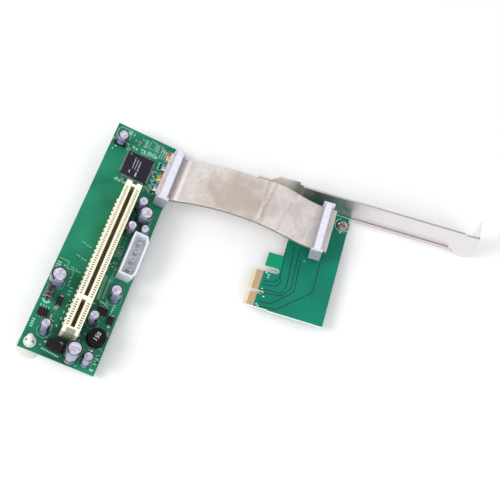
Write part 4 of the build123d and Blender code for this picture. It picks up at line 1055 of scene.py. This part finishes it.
# bright shoulders of the contacts, just inside the windows
faces = Piece("slot_contact_faces", BOARD, [M_CONTACT])
for k in range(62):
    y = 93.46 - 1.27 * k
    if k in (49, 50):
        continue
    for sx in (-1, 1):
        faces.rect(19.7 + sx * 2.75, y, 0.95, 0.42, 10.3, 10.5)
faces.build()

# small lands, outlines and dark parts of the dense areas
small = Piece("board_small_lands", BOARD, [M_PAD, M_SILK, M_EPOXY2])
for x in (26.5, 27.9, 29.3, 30.6):
    y = 122.3
    while y < 128.9:
        if rnd.random() > 0.15:
            small.rect(x, y, 0.85, 0.42, 0, 0.035, rnd.uniform(-3, 3), 0 if rnd.random() > 0.3 else 1)
        y += 0.85
for i in range(12):
    small.rect(16.9 + 0.78 * i, 120.5 + 0.08 * i, 0.36, 1.2, 0, 0.035, 0, 1)
    if i % 4 != 3:
        small.rect(16.9 + 0.78 * i, 122.4 + 0.08 * i, 0.34, 0.9, 0, 0.035, 0, 0)
for cx, cy, w, l, k in ((29.0, 117.9, 2.7, 4.3, 2), (29.6, 105.2, 3.0, 9.2, 4)):
    for a, b, c, d in ((cx - w / 2, cy, 0.22, l), (cx + w / 2, cy, 0.22, l), (cx, cy - l / 2, w, 0.22),
                       (cx, cy + l / 2, w, 0.22)):
        small.rect(a, b, c, d, 0, 0.035, 0, 1)
    for i in range(k):
        y = cy - l / 2 + l * (i + 0.5) / k
        small.rect(cx, y, 1.0, l / k * 0.62, 0, 0.045, 0, 2)
        small.rect(cx - 0.85, y, 0.45, l / k * 0.62, 0, 0.04, 0, 0)
        small.rect(cx + 0.85, y, 0.45, l / k * 0.62, 0, 0.04, 0, 0)
for i in range(8):
    small.rect(9.6 + 0.72 * i, 100.2 + 0.1 * (i % 3), 0.34, 1.1, 0, 0.035, 0, i % 2)
for i in range(15):
    y = 60.4 + 0.85 * i
    small.rect(25.2 + 0.16 * (i % 3), y, 0.5, 0.45, 0, 0.035, 8 * (i % 3), i % 2)
    if i % 3:
        small.rect(27.3, y + 0.2, 0.75, 0.38, 0, 0.035, 0, 1)
for i in range(9):
    small.rect(28.3, 47.6 + 0.98 * i, 1.1, 0.34, 0, 0.035, 0, i % 2)
small.rect(30.6, 37.4, 1.0, 0.6, 0, 0.04, 0, 0)
small.rect(30.6, 36.1, 1.0, 0.6, 0, 0.04, 0, 0)
for x, y in ((9.4, 18.6), (10.8, 16.6), (37.3, 9.6), (37.4, 6.8), (14.2, 28.9), (16.0, 31.9)):
    small.rect(x, y, 0.9, 1.1, 0, 0.045, 0, 2)
    small.rect(x, y + 0.85, 0.9, 0.4, 0, 0.04, 0, 0)
    small.rect(x, y - 0.85, 0.9, 0.4, 0, 0.04, 0, 0)
small.build()

# annular pad round the standoff's hole
hole = Piece("hole_land", BOARD, [M_LAND])
hole.ring(4.6, 4.2, 2.65, 0.7, 0, 0.06, 0, n=48)
hole.build()

# ------------------------------------------------------------------
# plain marks on the packages
# ------------------------------------------------------------------
marks = Piece("package_marks", BOARD, [M_MARK])
zt = 1.5
for i, (y0, y1, w) in enumerate(((115.8, 109.6, 0.35), (115.2, 109.0, 0.35), (114.6, 108.9, 0.55))):
    x = 15.6 + 1.5 * i
    y = y0
    while y > y1:
        l = 0.7 + 0.35 * ((int(y * 7) + i) % 3)
        marks.rect(x + 0.15 * (y0 - y) * 0.2, y - l / 2, w, l, zt, zt + 0.012, 4)
        y -= l + 0.35
marks.rect(14.9, 107.0, 0.5, 1.7, zt, zt + 0.012)
marks.rect(18.6, 106.6, 0.8, 2.4, zt, zt + 0.012)
marks.ring(12.4, 116.9, 0.42, 0.12, zt, zt + 0.012)
marks.line([(17.6, 8.6), (18.9, 8.6), (18.9, 7.9)], 0.25, 2.42, 2.435)
marks.build()

# plain value on the inductor
cu = bpy.data.curves.new("value_text", "FONT")
cu.body = "150"
cu.size = 2.9
cu.align_x = "CENTER"
cu.align_y = "CENTER"
cu.extrude = 0.012
cu.offset = 0.05
cu.space_character = 1.1
tmp = bpy.data.objects.new("value_text_tmp", cu)
bpy.context.scene.collection.objects.link(tmp)
dg = bpy.context.evaluated_depsgraph_get()
me = bpy.data.meshes.new_from_object(tmp.evaluated_get(dg))
bpy.data.objects.remove(tmp)
me.transform(MM @ BOARD @ Matrix.Translation((32.55, 16.95, 6.81)) @ rot("Z", 78))
me.materials.clear()
me.materials.append(M_VALUE)
val = bpy.data.objects.new("inductor_value", me)
bpy.context.scene.collection.objects.link(val)
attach(val, "root")

# solder fillets at the larger surface leads
fil = Piece("solder_fillets", BOARD, [M_SOLDER])


def fillet(cx, cy, w, l, h=0.35):
    verts = [(cx - w / 2, cy - l / 2, 0), (cx + w / 2, cy - l / 2, 0), (cx + w / 2, cy + l / 2, 0),
             (cx - w / 2, cy + l / 2, 0), (cx - w * 0.3, cy - l * 0.3, h), (cx + w * 0.3, cy - l * 0.3, h),
             (cx + w * 0.3, cy + l * 0.3, h), (cx - w * 0.3, cy + l * 0.3, h)]
    fil.add(verts, [[3, 2, 1, 0], [4, 5, 6, 7], [0, 1, 5, 4], [1, 2, 6, 5], [2, 3, 7, 6], [3, 0, 4, 7]], 0, True)


for cx, cy in ((35.9, 25.3), (35.9, 31.3), (9.6, 24.6), (9.6, 30.6)):
    fillet(cx, cy, 2.2, 1.1, 0.25)
for cx, cy in ((32.6, 11.3), (32.6, 22.3), (11.6, 7.0)):
    fillet(cx, cy, 2.6, 1.5, 0.35)
for x in (0.55, 8.95):
    fillet(x, 121.75, 1.0, 2.2, 0.4)
fil.build()

# ------------------------------------------------------------------
# traces and print on the edge card
# ------------------------------------------------------------------
tr = Piece("card_traces", CARD, [M_TRACE])
lines = [
    [(6.5, 14.7), (12.4, 16.5), (13.9, 18.7), (13.6, 24.3), (12.9, 33.6), (12.6, 41.0)],
    [(6.5, 12.9), (12.9, 13.8), (14.8, 16.2), (14.6, 19.5)],
    [(6.5, 10.4), (16.6, 10.8), (18.5, 15.7), (17.0, 33.6), (16.6, 39.5)],
    [(6.2, 8.0), (17.1, 9.6), (20.9, 14.9), (19.9, 33.2), (19.6, 38.0)],
    [(6.9, 3.2), (13.2, 3.6), (23.0, 13.9), (21.5, 32.8)],
    [(6.6, 0.5), (16.6, 1.4), (32.2, 16.6), (31.7, 34.0)],
]
for ln in lines:
    tr.line(ln, 0.42, 0, 0.03)
tr.build()

ck = Piece("card_print_marks", CARD, [M_SILKW])
ck.ring(38.0, 60.1, 4.0, 0.3, 0, Z1, 0, 110, 330, 44)
ck.line([(33.3, 65.4), (41.0, 65.1), (41.0, 62.0)], 0.3, 0, Z1)
ck.line([(33.1, 64.6), (33.3, 55.2)], 0.3, 0, Z1)
ck.disc(37.8, 55.2, 0.4, 0, Z1)
ck.rect(37.8, 56.0, 0.25, 1.0, 0, Z1)
for x, y, w, l, t in ((6.6, 20.0, 0.5, 1.3, 60), (8.2, 19.0, 0.6, 1.0, 20), (8.0, 17.6, 0.4, 1.0, 60),
                      (6.8, 10.6, 0.9, 0.5, 0), (8.6, 6.4, 0.5, 1.2, 80), (6.3, 1.4, 0.7, 0.9, 30),
                      (7.3, 0.6, 0.9, 0.5, 30), (23.6, 32.6, 0.5, 0.5, 0)):
    ck.rect(x, y, w, l, 0, Z1, t)
ck.build()

# pale bevel at the gold edge, where the fibre shows
bev = Piece("edge_bevel_fibre", CARD, [M_FIBRE, M_GOLD])
for y0, y1 in ((0.12, 7.3), (9.4, 20.45)):
    bev.add([(-0.33, y0, -0.506), (1.37, y0, -0.012), (1.37, y1, -0.012), (-0.33, y1, -0.506),
             (-0.33, y0, -0.484), (1.37, y0, 0.008), (1.37, y1, 0.008), (-0.33, y1, -0.484)],
            [[3, 2, 1, 0], [4, 5, 6, 7], [0, 1, 5, 4], [1, 2, 6, 5], [2, 3, 7, 6], [3, 0, 4, 7]], 0)
bev.build()

# ------------------------------------------------------------------
# floor, light, camera
# ------------------------------------------------------------------
fl = bpy.data.meshes.new("floor")
S = 3.0
fl.from_pydata([(-S, -S, 0), (S, -S, 0), (S, S, 0), (-S, S, 0)], [], [[0, 1, 2, 3]])
mf = Mat("pale_floor")
mf.base(mf.ramp(mf.noise(0.02, 2), [(0.3, (0.86, 0.86, 0.86)), (0.7, (0.88, 0.88, 0.88))]))
mf.set(rough=0.6)
fl.materials.append(mf.m)
floor = bpy.data.objects.new("floor", fl)
bpy.context.scene.collection.objects.link(floor)

w = bpy.data.worlds.new("studio")
bpy.context.scene.world = w
w.use_nodes = True
wt = w.node_tree
bg = wt.nodes["Background"]
tc = wt.nodes.new("ShaderNodeTexCoord")
dot = wt.nodes.new("ShaderNodeVectorMath")
dot.operation = "DOT_PRODUCT"
wt.links.new(tc.outputs["Generated"], dot.inputs[0])
dot.inputs[1].default_value = Vector((0.15, 0.45, 0.88)).normalized()
mr = wt.nodes.new("ShaderNodeMapRange")
mr.inputs["From Min"].default_value = 0.72
mr.inputs["From Max"].default_value = 0.97
mr.inputs["To Min"].default_value = 1.05
mr.inputs["To Max"].default_value = 0.42
wt.links.new(dot.outputs["Value"], mr.inputs["Value"])
bg.inputs["Color"].default_value = (0.97, 0.98, 1.0, 1)
wt.links.new(mr.outputs["Result"], bg.inputs["Strength"])


def area(name, loc, target, size, power, col=(1, 1, 1)):
    d = bpy.data.lights.new(name, "AREA")
    d.shape = "RECTANGLE"
    d.size, d.size_y = size
    d.energy = power
    d.color = col
    o = bpy.data.objects.new(name, d)
    o.location = loc
    o.rotation_euler = (Vector(target) - Vector(loc)).to_track_quat("-Z", "Y").to_euler()
    bpy.context.scene.collection.objects.link(o)


area("key", (-0.75, -0.35, 0.75), (-0.02, 0, 0), (0.5, 0.5), 6.0)
area("fill", (0.6, -0.6, 0.6), (0.0, 0, 0), (0.8, 0.8), 2.5)

RT = Matrix(((0.956756, 0.278122, 0.085238), (0.286374, -0.849124, -0.443823), (-0.051059, 0.449041, -0.892051)))
S3 = SETTLE.to_3x3()
right = S3 @ Vector(RT[0])
down = S3 @ Vector(RT[1])
fwd = S3 @ Vector(RT[2])
pos = SETTLE @ Vector((15.99, -165.02, 380.42))
cam = bpy.data.cameras.new("camera")
cam.sensor_width = 36.0
cam.sensor_fit = "HORIZONTAL"
cam.lens = 811.713 / 500 * 36.0
cam.shift_x = (250 - 246.508) / 500
cam.shift_y = -(250 - 258.306) / 500
cam.clip_start = 0.01
cam.clip_end = 20
co = bpy.data.objects.new("camera", cam)
mw = Matrix.Identity(4)
for i in range(3):
    mw[i][0], mw[i][1], mw[i][2] = right[i], -down[i], -fwd[i]
mw.translation = pos * 0.001
co.matrix_world = mw
bpy.context.scene.collection.objects.link(co)
bpy.context.scene.camera = co

bpy.context.scene.view_settings.view_transform = "Standard"
bpy.context.scene.view_settings.look = "None"
